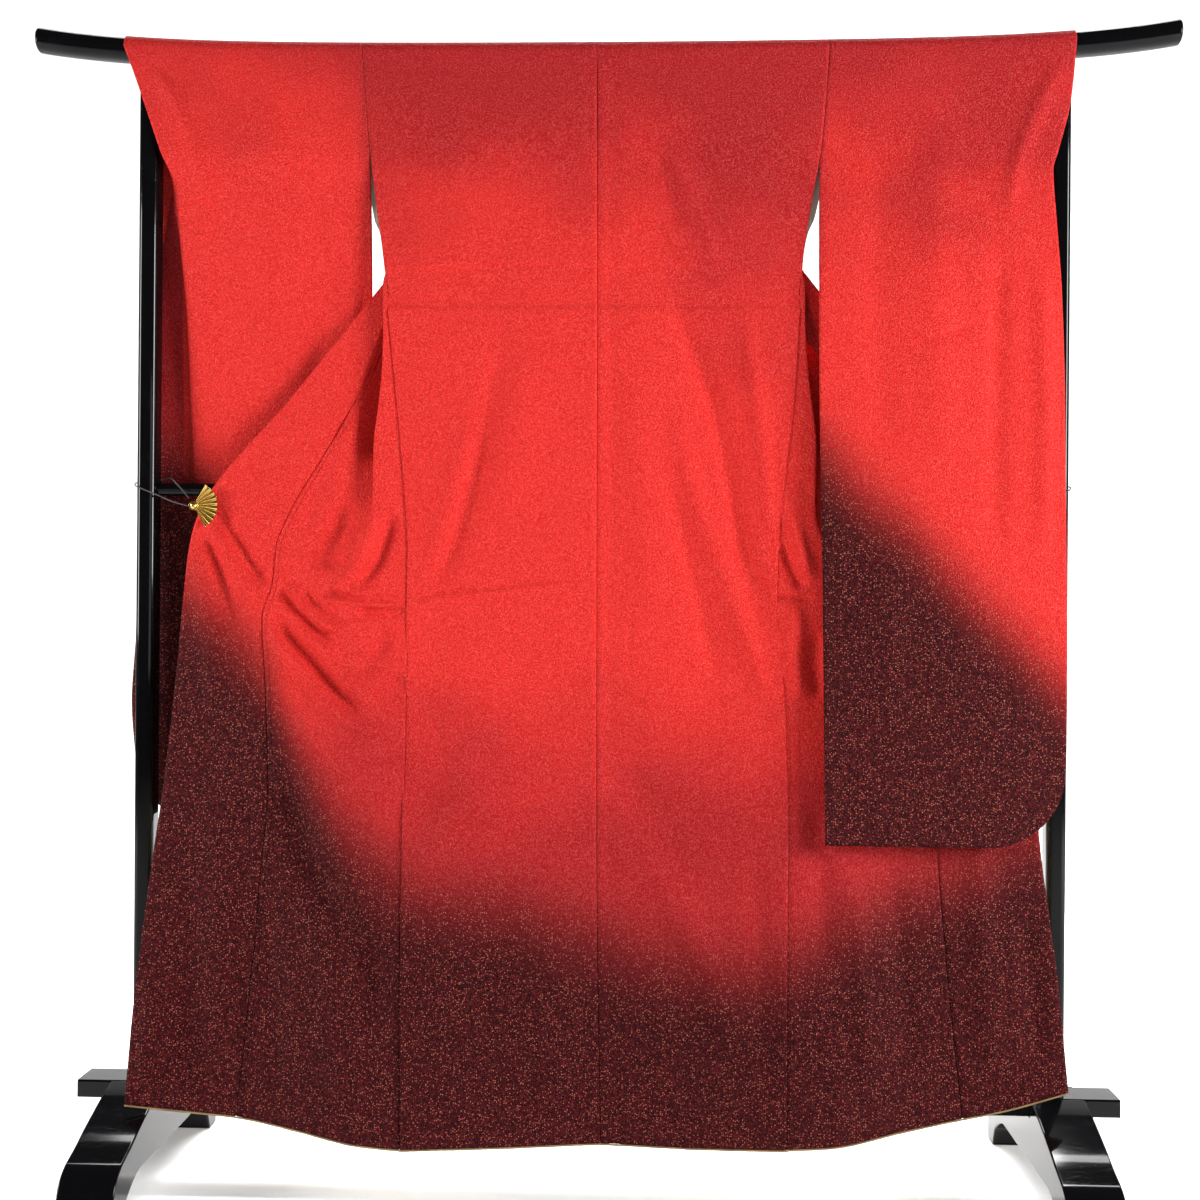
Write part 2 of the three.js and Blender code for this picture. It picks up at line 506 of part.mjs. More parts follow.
// Columns near the outer edge end higher, so that the bottom corner is round.
function sleeveFoot(side, column) {
  const { in: inner, out } = SLEEVE_NEAR[side][1];
  const reach = lerp(inner, out, SLEEVE_COLUMNS[column]) - (out - SLEEVE.cornerRadius);
  const lift = SLEEVE.cornerRadius - Math.sqrt(SLEEVE.cornerRadius ** 2 - Math.max(0, reach) ** 2);
  return SLEEVE.foot + lift;
}
function sleeveBends(side, far, z) {
  const near = (name) => read(SLEEVE_NEAR[side], name, z);
  const inner = Math.max(near("in"), backEdge(side, z) + 2 * SEAM_GAP);
  const bend = (name) => [near(name), near(name + "Y")];
  if (!far) return [[inner, near("inY")], bend("fold"), bend("turn"), bend("out")];
  const back = (name) => read(SLEEVE_FAR[side], name, z);
  const out = back("out");
  return [
    [inner, back("inY")], [lerp(inner, out, 0.4), back("foldY")],
    [lerp(inner, out, 0.75), back("turnY")], [out, back("outY")],
  ];
}
// A point of the near or far layer, a share of the way up from the sleeve's foot to the bar.
function sleevePoint(side, far, column, share) {
  const level = lerp(sleeveFoot(side, column), TOP, share);
  const curve = smoothCurve(side, sleeveBends(side, far, level));
  const p = curve.getPointAt(SLEEVE_COLUMNS[column]);
  const toBar = smoothstep(level, 1431, TOP);
  return new THREE.Vector3(p.x, p.y, level + toBar * (barHeight(p.x) - TOP));
}
for (const side of [LEFT, RIGHT]) {
  const layerRow = (far, share) =>
    SLEEVE_COLUMNS.map((_, column) => sleevePoint(side, far, column, share));
  const near = NEAR_LEVELS.map((share) => layerRow(false, share));
  const far = FAR_LEVELS.map((share) => layerRow(true, share)).reverse();
  const over = wrapRows(layerRow(false, 1), layerRow(true, 1), WRAP_STEPS);
  add(kimono, "sleeve_" + sideName(side), wall([...near, ...over, ...far]), SILK);
}

// ---------------------------------------------------------------- lining rolled out at the hem
function hemRoll(points) {
  return loft(points.map((p) => {
    const [top, low] = [p.z - SEAM_GAP, p.z - SEAM_GAP - HEM_ROLL.high];
    const [near, far] = [p.y - HEM_ROLL.deep / 2 + HEM_ROLL.set, p.y + HEM_ROLL.deep / 2 + HEM_ROLL.set];
    const soft = HEM_ROLL.deep / 4;
    return [
      new THREE.Vector3(p.x, near, top), new THREE.Vector3(p.x, near, low + soft),
      new THREE.Vector3(p.x, near + soft, low), new THREE.Vector3(p.x, far - soft, low),
      new THREE.Vector3(p.x, far, low + soft), new THREE.Vector3(p.x, far, top),
    ];
  }));
}
for (const side of [LEFT, RIGHT]) {
  const back = Array.from({ length: BODY_CELLS + 1 }, (_, u) => backPoint(side, u / BODY_CELLS, LOWEST));
  const front = frontRow(side, LOWEST).reverse();
  const overlap = overlapRow(side, LOWEST).reverse();
  const line = [...back, ...front.slice(1), ...overlap.slice(1)];
  add(kimono, "hem_lining_" + sideName(side), hemRoll(line), HEM_SILK);
}

// ---------------------------------------------------------------- stand
function barSection(x, radius) {
  return Array.from({ length: BAR.sides }, (_, k) => {
    const angle = (2 * Math.PI * k) / BAR.sides;
    return new THREE.Vector3(x, radius * Math.cos(angle), barHeight(x) + radius * Math.sin(angle));
  });
}
function barSolid(grow) {
  const half = BAR.length / 2;
  const sections = Array.from({ length: BAR.steps + 1 }, (_, k) =>
    barSection(lerp(-half + 4, half - 4, k / BAR.steps), BAR.radius + grow));
  const tips = [-half, half].map((x) => barSection(x, BAR.radius + grow - 4));
  return loft([tips[0], ...sections, tips[1]]);
}
add(stand, "top_bar", barSolid(0), LACQUER);

const postTop = toManifold(barSolid(SEAM_GAP));
for (const side of [LEFT, RIGHT]) {
  const low = BEAM.high + SEAM_GAP;
  const section = roundedRectangle(POST.wide, POST.deep, POST.corner);
  const blank = new THREE.ExtrudeGeometry(section,
    { depth: barHeight(POST.centre) - low, bevelEnabled: false, curveSegments: 5 });
  blank.translate(side * POST.centre, 0, low);
  add(stand, "post_" + sideName(side), fromManifold(toManifold(blank).subtract(postTop)), LACQUER);
}

const railLength = 2 * (POST.centre - POST.wide / 2 - SEAM_GAP);
const rail = new THREE.CylinderGeometry(RAIL.radius, RAIL.radius, railLength, RAIL.sides);
const railMesh = add(stand, "middle_rail", rail, LACQUER);
railMesh.rotation.z = Math.PI / 2;
railMesh.position.z = RAIL.height;

const beamShape = roundedRectangle(BEAM.deep, BEAM.high - BEAM.low, BEAM.corner);
const beam = new THREE.ExtrudeGeometry(beamShape,
  { depth: BEAM.length, bevelEnabled: false, curveSegments: 3 });
const beamMesh = add(stand, "tie_beam", beam, LACQUER);
beamMesh.rotation.set(Math.PI / 2, Math.PI / 2, 0);
beamMesh.position.set(-BEAM.length / 2, 0, (BEAM.low + BEAM.high) / 2);

for (const side of [LEFT, RIGHT]) {
  const shape = new THREE.Shape();
  const notch = BEAM.low - SEAM_GAP;
  shape.moveTo(-FOOT_HALF[0].y, notch);
  shape.lineTo(FOOT_HALF[0].y, notch);
  FOOT_HALF.forEach(({ y, z }) => shape.lineTo(y, z));
  [...FOOT_HALF].reverse().forEach(({ y, z }) => shape.lineTo(-y, z));
  const foot = new THREE.ExtrudeGeometry(shape, { depth: FOOT.thick, bevelEnabled: false });
  const mesh = add(stand, "foot_" + sideName(side), foot, LACQUER);
  mesh.rotation.set(Math.PI / 2, Math.PI / 2, 0);
  mesh.position.x = side * POST.centre - FOOT.thick / 2;
}

// ---------------------------------------------------------------- fan clips and their cords
// A pleated fan plate on a round knuckle; a flat jaw behind it grips the front edge.
function fanClip(side) {
  const steps = CLIP.pleats * 2;
  const ribs = Array.from({ length: steps + 1 }, (_, k) => {
    const angle = lerp(-CLIP.spread / 2, CLIP.spread / 2, k / steps);
    const lift = k % 2 ? -CLIP.pleat : CLIP.pleat;
    return [5, 9, CLIP.reach].map((r, i) => new THREE.Vector3(
      r * Math.cos(angle), i === 2 ? lift : lift * i * 0.3, r * Math.sin(angle)));
  });
  const fan = toManifold(wall(ribs, CLIP.wall));
  const jaw = Array.from({ length: 7 }, (_, k) => {
    const angle = lerp(-0.5, 0.5, k / 6);
    const [x, z] = [Math.cos(angle), Math.sin(angle)];
    return [5, CLIP.reach * 0.7].map((r) => new THREE.Vector3(r * x, 14, r * z));
  });
  const knuckle = new THREE.CylinderGeometry(6.5, 6.5, 17, 16);
  knuckle.translate(0, 6.5, 0);
  const joined = fan.add(toManifold(wall(jaw, CLIP.wall))).add(toManifold(knuckle));
  const clip = fromManifold(joined);
  if (side === LEFT) return clip;
  clip.scale(-1, 1, 1);
  clip.setIndex([...clip.index.array].reverse());
  return clip;
}
for (const side of [LEFT, RIGHT]) {
  const mesh = add(kimono, "clip_" + sideName(side), fanClip(side), GILT);
  mesh.position.set(side * CLIP.out, CLIP.y, CLIP.height);
}
// The elastic leaves the knuckle, goes round the post and comes back above the rail.
const CORD_ROUTE = table(["out", "y", "z"], [
  [570, -29.5, 943.5], [594, -25, 950], [618, -19.5, 960], [636, -18.6, 967], [648, -18.2, 972],
  [651.5, -12, 976], [651.5, 12, 980], [648, 18.4, 982], [636, 18.8, 983], [622, 17, 984],
  [606, 2, 985], [588, -14, 972], [571, -24, 955],
]);
for (const side of [LEFT, RIGHT]) {
  const route = new THREE.CatmullRomCurve3(
    CORD_ROUTE.map(({ out, y, z }) => new THREE.Vector3(side * out, y, z)), false, "centripetal");
  const section = new THREE.Shape();
  section.absarc(0, 0, CORD.radius, 0, Math.PI * 2, false);
  const cord = new THREE.ExtrudeGeometry(section,
    { steps: CORD.steps, extrudePath: route, curveSegments: CORD.sides / 2 });
  add(kimono, "clip_cord_" + sideName(side), cord, ELASTIC);
}

const part = new THREE.Group();
part.add(stand, kimono);
export default part;
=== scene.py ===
"""A long-sleeved ceremonial kimono spread on a black lacquered stand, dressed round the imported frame.

The object is in metres with +Z up and the garment's back towards -Y. The tables and classes that
shape cloth hold millimetres, and LAY turns them into metres when a mesh is made.
"""
import logging
import math
from dataclasses import dataclass
from enum import Enum
from typing import Mapping, Sequence

import bmesh
import bpy
import numpy as np
from mathutils import Matrix, Vector


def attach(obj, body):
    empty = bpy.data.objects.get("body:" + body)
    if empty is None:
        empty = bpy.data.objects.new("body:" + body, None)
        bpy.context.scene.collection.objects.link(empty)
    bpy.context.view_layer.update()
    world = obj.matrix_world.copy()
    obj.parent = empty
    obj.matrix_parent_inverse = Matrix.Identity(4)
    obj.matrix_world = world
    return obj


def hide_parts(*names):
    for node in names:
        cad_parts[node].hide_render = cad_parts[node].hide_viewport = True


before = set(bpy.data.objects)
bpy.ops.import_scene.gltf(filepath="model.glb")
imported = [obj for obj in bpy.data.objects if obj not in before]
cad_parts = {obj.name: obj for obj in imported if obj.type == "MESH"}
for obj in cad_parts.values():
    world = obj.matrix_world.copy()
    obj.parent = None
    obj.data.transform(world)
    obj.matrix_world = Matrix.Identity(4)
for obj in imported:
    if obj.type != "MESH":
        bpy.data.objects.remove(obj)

LOG = logging.getLogger("kimono")
LAY = 0.001  # millimetres to metres
CLOTH = 1.4  # thickness of crepe and lining together
SEAM_GAP = 0.3  # between pieces that are sewn together
LOWEST, TOP = 75.0, 1577.5  # lowest and highest levels of the cloth
HEM_SWAY = 1300.0  # level below which rows bend towards the line of the hem
BAR_SWAY = 1431.0  # level above which rows bend towards the line of the bar
BELOW_BAR = (1540.0, 1572.0)  # folds and seams fade out between these heights
CLIP_FADE = (900.0, 1000.0)  # levels between which the clips draw the fronts in
ABOVE_ALL = (2000.0, 2001.0)  # a fade that never starts
SIDE_SEAM_TOP = 1240.0
LOWER_LINING = 620.0  # height below which the lining is ochre
OVERLAP_TIP = 1322.0
BAR_LENGTH, BAR_RADIUS, BAR_SWEEP, BAR_UPTURN = 1598.0, 17.5, 8.0, 20.6
WRAP_RADIUS = 19.2  # of the cloth's middle surface over the bar
WRAP_STEPS = 14
POST_CENTRE = 635.5
STRETCH_CELLS = (30, 7, 8, 9, 18)  # columns between the bends of a spread front
BODY_CELLS = sum(STRETCH_CELLS)
CLEAR = -500.0  # far above the dye line and the lower lining, and so of a bright red
PAINTED_SHADE_TONE = 400.0  # the deepest red, painted as shade on the left sleeve's strip beside the post
LOW_TONE = 1.25  # how fast the red deepens below the line of the lower lining
SHARP_ANGLE = math.radians(40)
Colour = tuple[float, float, float]


class Side(Enum):
    """A side of the stand, as the sign of X."""

    LEFT = -1
    RIGHT = 1

    @property
    def word(self) -> str:
        """The side's word in the names of pieces."""
        return self.name.lower()


class Held(Enum):
    """How a piece of cloth is held up."""

    DRAPED = "draped"
    HUNG = "hung"
    STRETCHED = "stretched"


def smoothstep(value: np.ndarray, low: float, high: float) -> np.ndarray:
    """Smooth rise from 0 at low to 1 at high.

    Args:
        value: Numbers to judge.
        low: Where the rise starts.
        high: Where it ends.

    Returns:
        Shares from 0 to 1.
    """
    share = np.clip((np.asarray(value, float) - low) / (high - low), 0.0, 1.0)
    return share * share * (3 - 2 * share)


def lerp(a: np.ndarray, b: np.ndarray, share: np.ndarray) -> np.ndarray:
    """Mix of a and b, a share of the way from a to b."""
    return a + (b - a) * share


def fade(value: np.ndarray, low: float, high: float) -> np.ndarray:
    """Smooth fall from 1 at low to 0 at high."""
    return 1 - smoothstep(value, low, high)


def bell(distance: np.ndarray, half: float) -> np.ndarray:
    """Round ridge of height 1 at no distance."""
    return np.exp(-((distance / half) ** 2))


def unit(vectors: np.ndarray) -> np.ndarray:
    """Vectors of length 1 in the same directions."""
    return vectors / (np.linalg.norm(vectors, axis=-1, keepdims=True) + 1e-9)


def running_length(lines: np.ndarray) -> np.ndarray:
    """Length along each line of points up to each of its points.

    Args:
        lines: Shape (lines, points, axes).

    Returns:
        Shape (lines, points).
    """
    steps = np.linalg.norm(np.diff(lines, axis=1), axis=2)
    return np.concatenate([np.zeros((len(lines), 1)), np.cumsum(steps, axis=1)], axis=1)


@dataclass(frozen=True)
class Table:
    """Sizes by height: one row for each height, read smoothly between the rows."""

    names: str
    rows: Sequence[Sequence[float]]
    key: str = "z"

    def column(self, name: str) -> np.ndarray:
        """One column of the table."""
        return np.array([row[self.names.split().index(name)] for row in self.rows], float)

    def read(self, name: str, at: np.ndarray) -> np.ndarray:
        """Smooth reading of a column that never swings past the rows.

        Args:
            name: The column.
            at: Places along the key column.

        Returns:
            The column's values there.
        """
        x, y = self.column(self.key), self.column(name)
        at = np.clip(np.asarray(at, float), x[0], x[-1])
        i = np.clip(np.searchsorted(x, at, side="right") - 1, 0, len(x) - 2)
        slope = np.diff(y) / np.diff(x)
        tangent = np.empty_like(y)
        tangent[0], tangent[-1] = slope[0], slope[-1]
        before, after = slope[:-1], slope[1:]
        same = before * after > 0
        total = np.where(same, before + after, 1.0)
        tangent[1:-1] = np.where(same, 2 * before * after / total, 0.0)
        span = x[i + 1] - x[i]
        t = (at - x[i]) / span
        t2, t3 = t * t, t * t * t
        return (
            (2 * t3 - 3 * t2 + 1) * y[i]
            + (t3 - 2 * t2 + t) * span * tangent[i]
            + (3 * t2 - 2 * t3) * y[i + 1]
            + (t3 - t2) * span * tangent[i + 1]
        )


# ------------------------------------------------------------------ outlines of the garment
CENTRE_SEAM = Table("z x", [[75, 13], [404, 5], [817, 1], [1285, -2], [1590, -5]])
HEM = Table("x z", [
    [-627, 132], [-530, 116], [-482, 109], [-393, 94], [-309, 79], [-255, 75], [-123, 73], [13, 76],
    [121, 77], [201, 81], [267, 86], [321, 90], [415, 109], [497, 126], [548, 138], [635, 167],
], key="x")
BACK_EDGE = {
    Side.LEFT: Table("z out", [
        [75, 255], [273, 259], [432, 261], [787, 261], [870, 261], [953, 266], [1065, 277],
        [1205, 292], [1286, 300], [1372, 312], [1431, 319], [1512, 327], [1594, 333],
    ]),
    Side.RIGHT: Table("z out", [
        [75, 262], [335, 263], [480, 264], [628, 261], [764, 253], [818, 249], [873, 250],
        [983, 259], [1094, 271], [1218, 278], [1285, 282], [1371, 294], [1426, 304], [1512, 312],
        [1594, 317],
    ]),
}
OVERLAP_SEAM = {
    Side.LEFT: Table("z out y", [
        [75, 482, -75], [266, 467, -66], [402, 458, -58], [538, 450, -50], [675, 456, -40],
        [785, 463, -33], [834, 450, -30], [887, 446, -26], [911, 438, -24], [951, 420, -20],
        [996, 395, -17], [1052, 361, -13], [1127, 327, -7], [1205, 298, -4], [1256, 282, -1],
        [1300, 262, 1], [1330, 244, 3],
    ]),
    Side.RIGHT: Table("z out y", [
        [75, 497, -75], [214, 484, -67], [347, 473, -60], [483, 464, -52], [675, 458, -40],
        [785, 463, -33], [834, 450, -30], [887, 446, -26], [911, 438, -24], [951, 420, -20],
        [996, 395, -17], [1052, 361, -13], [1127, 327, -7], [1205, 296, -4], [1256, 282, -1],
        [1300, 262, 1], [1330, 244, 3],
    ]),
}
FRONT_EDGE = {
    Side.LEFT: Table("z out y", [
        [75, 627, -105], [204, 620, -97], [283, 615, -89], [442, 601, -72], [537, 592, -60],
        [674, 582, -46], [812, 574, -34], [854, 571, -30], [896, 566, -27], [944, 550, -24],
        [1100, 428, -13], [1263, 301, -2], [1431, 171, 9], [1500, 117, 14], [1540, 88, 17],
        [1560, 69, 18.5], [1575, 44, 18.9], [1590, 24, 18.9],
    ]),
    Side.RIGHT: Table("z out y", [
        [75, 635, -85], [250, 622, -76], [349, 612, -68], [423, 604, -62], [516, 597, -54],
        [674, 584, -42], [812, 574, -33], [854, 571, -30], [896, 566, -27], [944, 550, -24],
        [1100, 428, -13], [1253, 303, -2], [1431, 171, 9], [1500, 117, 14], [1540, 88, 17],
        [1560, 69, 18.5], [1575, 44, 18.9], [1590, 24, 18.9],
    ]),
}
BACK_STAND = Table("z centre half side", [
    [75, -55, -70, -95], [266, -49, -61, -82], [402, -44, -54, -70], [538, -40, -47, -60],
    [675, -35, -41, -49], [783, -31, -36, -40], [872, -28, -31, -33], [981, -26, -28, -26],
    [1091, -24, -25, -22.5], [1285, -22, -22, -20], [1431, -20, -20, -19.5],
    [1545, -18.9, -18.9, -18.9], [1590, -18.9, -18.9, -18.9],
])
SIDE_SEAM = Table("z shift behind", [
    [75, -1.2, 2.5], [1200, -1.2, 2.5], [1222, -1.2, 2.3], [1240, -1.2, 2.1],
])
FREE_SIDE = Table("z shift y", [
    [1240, -1.2, -19.0], [1260, -1.2, -18.4], [1278, -1.0, -17.2], [1300, 0.5, -11], [1330, 3, -1],
    [1352, 9, 6], [1385, 11, 13], [1420, 5, 18], [1440, 0, 19.6], [1590, 0, 18.9],
])
TUCK = Table("x z", [
    [-291, 1274], [-245, 1277], [-175, 1281], [-105, 1285], [81, 1285], [150, 1283], [195, 1274],
    [274, 1264],
], key="x")
DEEP_FOLD = Table("z lip lipY inner innerY outer outerY", [
    [75, 75, -92, 110, -88, 150, -82], [266, 71, -79, 106, -76, 141, -72],
    [402, 66, -68, 99, -65, 134, -62], [538, 64, -58, 97, -56, 131, -53],
    [675, 67, -49, 99, -47, 134, -44], [783, 68, -42, 99, -40, 134, -38],
    [841, 68, -40, 96, -37, 124, -33], [880, 62, -38, 84, -34, 106, -28],
    [930, 47, -33, 52, -27, 70, -20], [981, 42, -29, 18, -20, 20, -13.5],
    [1036, 36, -27, -10, -13, -12, -2], [1091, 24, -25, -36, -9, -38, 4],
    [1140, 15, -23, -61, -8, -64, 7], [1200, 8, -21, -83, -7, -87, 8],
    [1256, 4, -17.5, -102, -8, -107, 6], [1278, -3, -14, -112, -8, -118, 5],
    [1300, -8, -9.5, -121, -8, -127, 4], [1340, -12, -2, -137, -8, -143, 4],
    [1385, -17, 10, -157, -6, -164, 6], [1431, -22, 18, -181, -3, -190, 5],
    [1465, -29, 19, -156, -3, -174, 3], [1500, -42, 19.5, -144, 10, -168, 9],
    [1530, -52, 19.5, -140, 19, -170, 17], [1590, -66, 18.9, -136, 18.9, -201, 18.9],
])
SLEEVE_NEAR = {
    Side.LEFT: Table("z in inY fold foldY turn turnY out outY", [
        [490, 320, 22, 470, 25, 580, 26, 652, 26], [588, 320, 21, 500, 22, 600, 26, 661, 26],
        [669, 320, 20, 560, 20, 605, 25, 667, 26], [741, 320, 18, 575, 18, 604, 25, 663, 26],
        [827, 320, 18, 577, 18, 600, 25, 656, 26], [969, 321, 16, 574, 17, 590, 23, 653, 25],
        [1036, 321, 14, 575, 14, 586, 22, 650, 24], [1125, 321, 13, 577, 6, 586, 18, 647, 24],
        [1223, 321, 10, 581, 1, 590, 15, 641, 23.5], [1307, 320, 0, 588, -4, 596, 8, 629, 23.5],
        [1362, 320, -7, 590, -8, 600, -2, 612, 9], [1402, 320, -13, 560, -13, 588, -11, 603, -4],
        [1443, 321, -18.9, 560, -19, 595, -20, 617, -20.5],
        [1507, 327.3, -18.9, 560, -19, 610, -20, 641, -20.5],
        [1594, 333.3, -18.9, 560, -18.9, 625, -18.9, 677, -18.9],
    ]),
    Side.RIGHT: Table("z in inY fold foldY turn turnY out outY", [
        [490, 311, -86, 420, -86, 530, -85, 628, -80.5],
        [605, 310, -79, 420, -80, 530, -80, 631, -76],
        [686, 309, -73, 420, -75, 530, -75, 633, -70],
        [821, 308, -61, 420, -64, 530, -64, 635, -59],
        [1094, 304, -40, 420, -44, 530, -44, 635, -41],
        [1238, 303, -32, 420, -34, 530, -35, 632, -33],
        [1330, 302.5, -28, 420, -30, 530, -31, 626, -29],
        [1409, 303.5, -21, 420, -24, 530, -26, 621, -26],
        [1438, 304.5, -19.6, 420, -21, 540, -22, 629, -23],
        [1504, 311.5, -18.9, 420, -19, 570, -20, 646, -21],
        [1594, 317.3, -18.9, 420, -18.9, 560, -18.9, 655, -18.9],
    ]),
}
SLEEVE_FAR = {
    Side.LEFT: Table("z inY foldY turnY out outY", [
        [490, 24.4, 28, 28.8, 652, 28.4], [588, 29, 36, 35, 661, 28.4], [741, 34, 42, 40, 663, 28.4],
        [969, 34, 42, 40, 653, 27.4], [1125, 33, 40, 38, 647, 26.4], [1223, 30, 35, 33, 641, 25.9],
        [1307, 25, 28, 28, 636, 26], [1362, 22, 24, 24, 640, 24], [1402, 21, 22, 22, 641, 22],
        [1450, 19.8, 19, 20, 643, 20.5], [1507, 19, 19, 20, 649, 20],
        [1594, 18.9, 18.9, 18.9, 675, 18.9],
    ]),
    Side.RIGHT: Table("z inY foldY turnY out outY", [
        [490, -83.2, -82.4, -80.5, 628, -77.6], [605, -72, -72, -72, 631, -73.6],
        [686, -65, -65, -65, 633, -67.6], [821, -51, -53, -54, 635, -56.6],
        [1094, -30, -32, -34, 635, -38.6], [1238, -21, -22, -26, 631, -30.6],
        [1330, -6, -6, -14, 624, -26.6], [1372, 8, 8, 4, 618, -24.6],
        [1409, 17, 17, 14, 615, -22], [1455, 19.6, 19, 20, 616, 18],
        [1504, 19, 19, 20, 642, 20.5], [1594, 18.9, 18.9, 18.9, 653, 18.9],
    ]),
}
# Height of the line where the red gives way to the dark ground.
DYE_BODY = Table("x z", [
    [-567, 798], [-525, 757], [-459, 689], [-405, 565], [-335, 456], [-265, 402], [-168, 369],
    [-72, 350], [6, 331], [79, 305], [174, 293], [242, 294], [283, 318], [363, 357], [464, 406],
    [596, 483],
], key="x")
DYE_SLEEVE = {
    Side.LEFT: Table("out z", [
        [308, 640], [430, 760], [520, 880], [575, 965], [650, 1000],
    ], key="out"),
    Side.RIGHT: Table("out z", [
        [308, 996], [360, 942], [415, 894], [483, 820], [551, 752], [633, 672],
    ], key="out"),
}
# Height below which the red is full and bright; above it the red is deeper, partly an uneven dye and partly
# painted shade of the upper garment.
DEEPER = Table("x z", [
    [-660, 1560], [-345, 1500], [-325, 1370], [-200, 1400], [0, 1330], [220, 1210], [300, 1240],
    [320, 1380], [660, 1390],
], key="x")


# ------------------------------------------------------------------ outlines of the stand and the clips
# Half a foot from the side, from its shoulder over the back to the toe, and back through the arch.
FOOT_HALF = Table("y z", [
    [28.8, 140], [60, 132], [95, 120], [130, 107], [158, 95], [178, 88], [194, 82], [208, 73],
    [217, 62], [223, 48], [226, 32], [226, 18], [224, 0], [190, 0], [187.5, 8], [183, 18],
    [176, 29], [165, 37], [150, 45], [137, 50], [124, 53],
])
TOE_ROW = 12
KNUCKLE = Table("radius y", [
    [0, -3.4], [2.2, -3.2], [3.6, -2.4], [4.2, -1.6], [6.0, -1.4], [6.5, -0.8], [6.5, 13.6],
    [6.0, 14.2], [0, 14.4],
])
CORD_ROUTE = Table("out y z", [
    [570, -29.5, 943.5], [594, -25, 950], [618, -19.5, 960], [636, -18.6, 967], [648, -18.2, 972],
    [651.5, -12, 976], [651.5, 12, 980], [648, 18.4, 982], [636, 18.8, 983], [622, 17, 984],
    [606, 2, 985], [588, -14, 972], [571, -24, 955],
])


# ------------------------------------------------------------------ folds listed one by one
class FoldKind(Enum):
    """Shape of a fold's section."""

    SOFT = 2.0
    CRISP = 1.2


@dataclass(frozen=True)
class Fold:
    """A ridge or trough along a smooth path on the cloth.

    path holds (x, z) points in millimetres, half is half its width, and push is how far it stands
    out towards the side that the cloth's face looks to; a trough has a negative push.
    """

    path: Sequence[tuple[float, float]]
    half: float
    push: float
    kind: FoldKind = FoldKind.SOFT
    lean: float = 0.0

    def line(self) -> np.ndarray:
        """The path as short straight stretches."""
        points = np.array([self.path], float)
        return spline(points, np.linspace(0, 1, 5 * len(self.path)))[0]

    def lift(self, x: np.ndarray, z: np.ndarray) -> np.ndarray:
        """How far the fold lifts the cloth.

        Args:
            x: Places across.
            z: Heights.

        Returns:
            Outward lift in millimetres.
        """
        line = self.line()
        nearest = np.full(x.shape, 1e9)
        across = np.zeros(x.shape)
        along = np.zeros(x.shape)
        steps = len(line) - 1
        for k in range(steps):
            start, run = line[k], line[k + 1] - line[k]
            length = max(float(np.hypot(*run)), 1e-6)
            t = np.clip(((x - start[0]) * run[0] + (z - start[1]) * run[1]) / length**2, 0, 1)
            dx, dz = x - start[0] - t * run[0], z - start[1] - t * run[1]
            away = np.hypot(dx, dz)
            closer = away < nearest
            nearest = np.where(closer, away, nearest)
            across = np.where(closer, np.sign(run[0] * dz - run[1] * dx) * away, across)
            along = np.where(closer, (k + t) / steps, along)
        taper = smoothstep(along, -0.02, 0.22) * (1 - smoothstep(along, 0.78, 1.02))
        shape = np.exp(-((nearest / self.half) ** self.kind.value))
        return self.push * taper * shape * (1 + self.lean * np.tanh(across / self.half))


def spline(points: np.ndarray, at: np.ndarray) -> np.ndarray:
    """Smooth curves through rows of points, evenly taut between them.

    Args:
        points: Shape (rows, points, 2).
        at: Places along each curve from 0 to 1, shape (places,) or (rows, places).

    Returns:
        Shape (rows, places, 2).
    """
    count = points.shape[1]
    before = 2 * points[:, :1] - points[:, 1:2]
    after = 2 * points[:, -1:] - points[:, -2:-1]
    padded = np.concatenate([before, points, after], axis=1)
    place = np.clip(at, 0, 1) * (count - 1)
    place = np.broadcast_to(place, (points.shape[0], np.shape(at)[-1]))
    index = np.minimum(place.astype(int), count - 2)
    w = (place - index)[..., None]
    rows = np.arange(points.shape[0])[:, None]
    p0, p1, p2, p3 = (padded[rows, index + k] for k in range(4))

    def gap(a: np.ndarray, b: np.ndarray) -> np.ndarray:
        """Square root of the distance between points, as taut curves use."""
        return ((a - b) ** 2).sum(-1, keepdims=True) ** 0.25

    g0, g1, g2 = gap(p0, p1), gap(p1, p2), gap(p2, p3)
    g1 = np.where(g1 < 1e-4, 1.0, g1)
    g0, g2 = np.where(g0 < 1e-4, g1, g0), np.where(g2 < 1e-4, g1, g2)
    t1 = ((p1 - p0) / g0 - (p2 - p0) / (g0 + g1) + (p2 - p1) / g1) * g1
    t2 = ((p2 - p1) / g1 - (p3 - p1) / (g1 + g2) + (p3 - p2) / g2) * g1
    c2 = -3 * p1 + 3 * p2 - 2 * t1 - t2
    c3 = 2 * p1 - 2 * p2 + t1 + t2
    return p1 + t1 * w + c2 * w**2 + c3 * w**3


@dataclass(frozen=True)
class Relief:
    """All the folds of one face of the spread cloth, which fade out between two heights."""

    folds: Sequence[Fold]
    strength: float = 1.0
    fades: tuple[float, float] = ABOVE_ALL

    def lift(self, x: np.ndarray, z: np.ndarray) -> np.ndarray:
        """Outward lift of every fold together.

        Args:
            x: Places across.
            z: Heights.

        Returns:
            Lift in millimetres.
        """
        total = sum(fold.lift(x, z) for fold in self.folds)
        return self.strength * total * fade(z, *self.fades)


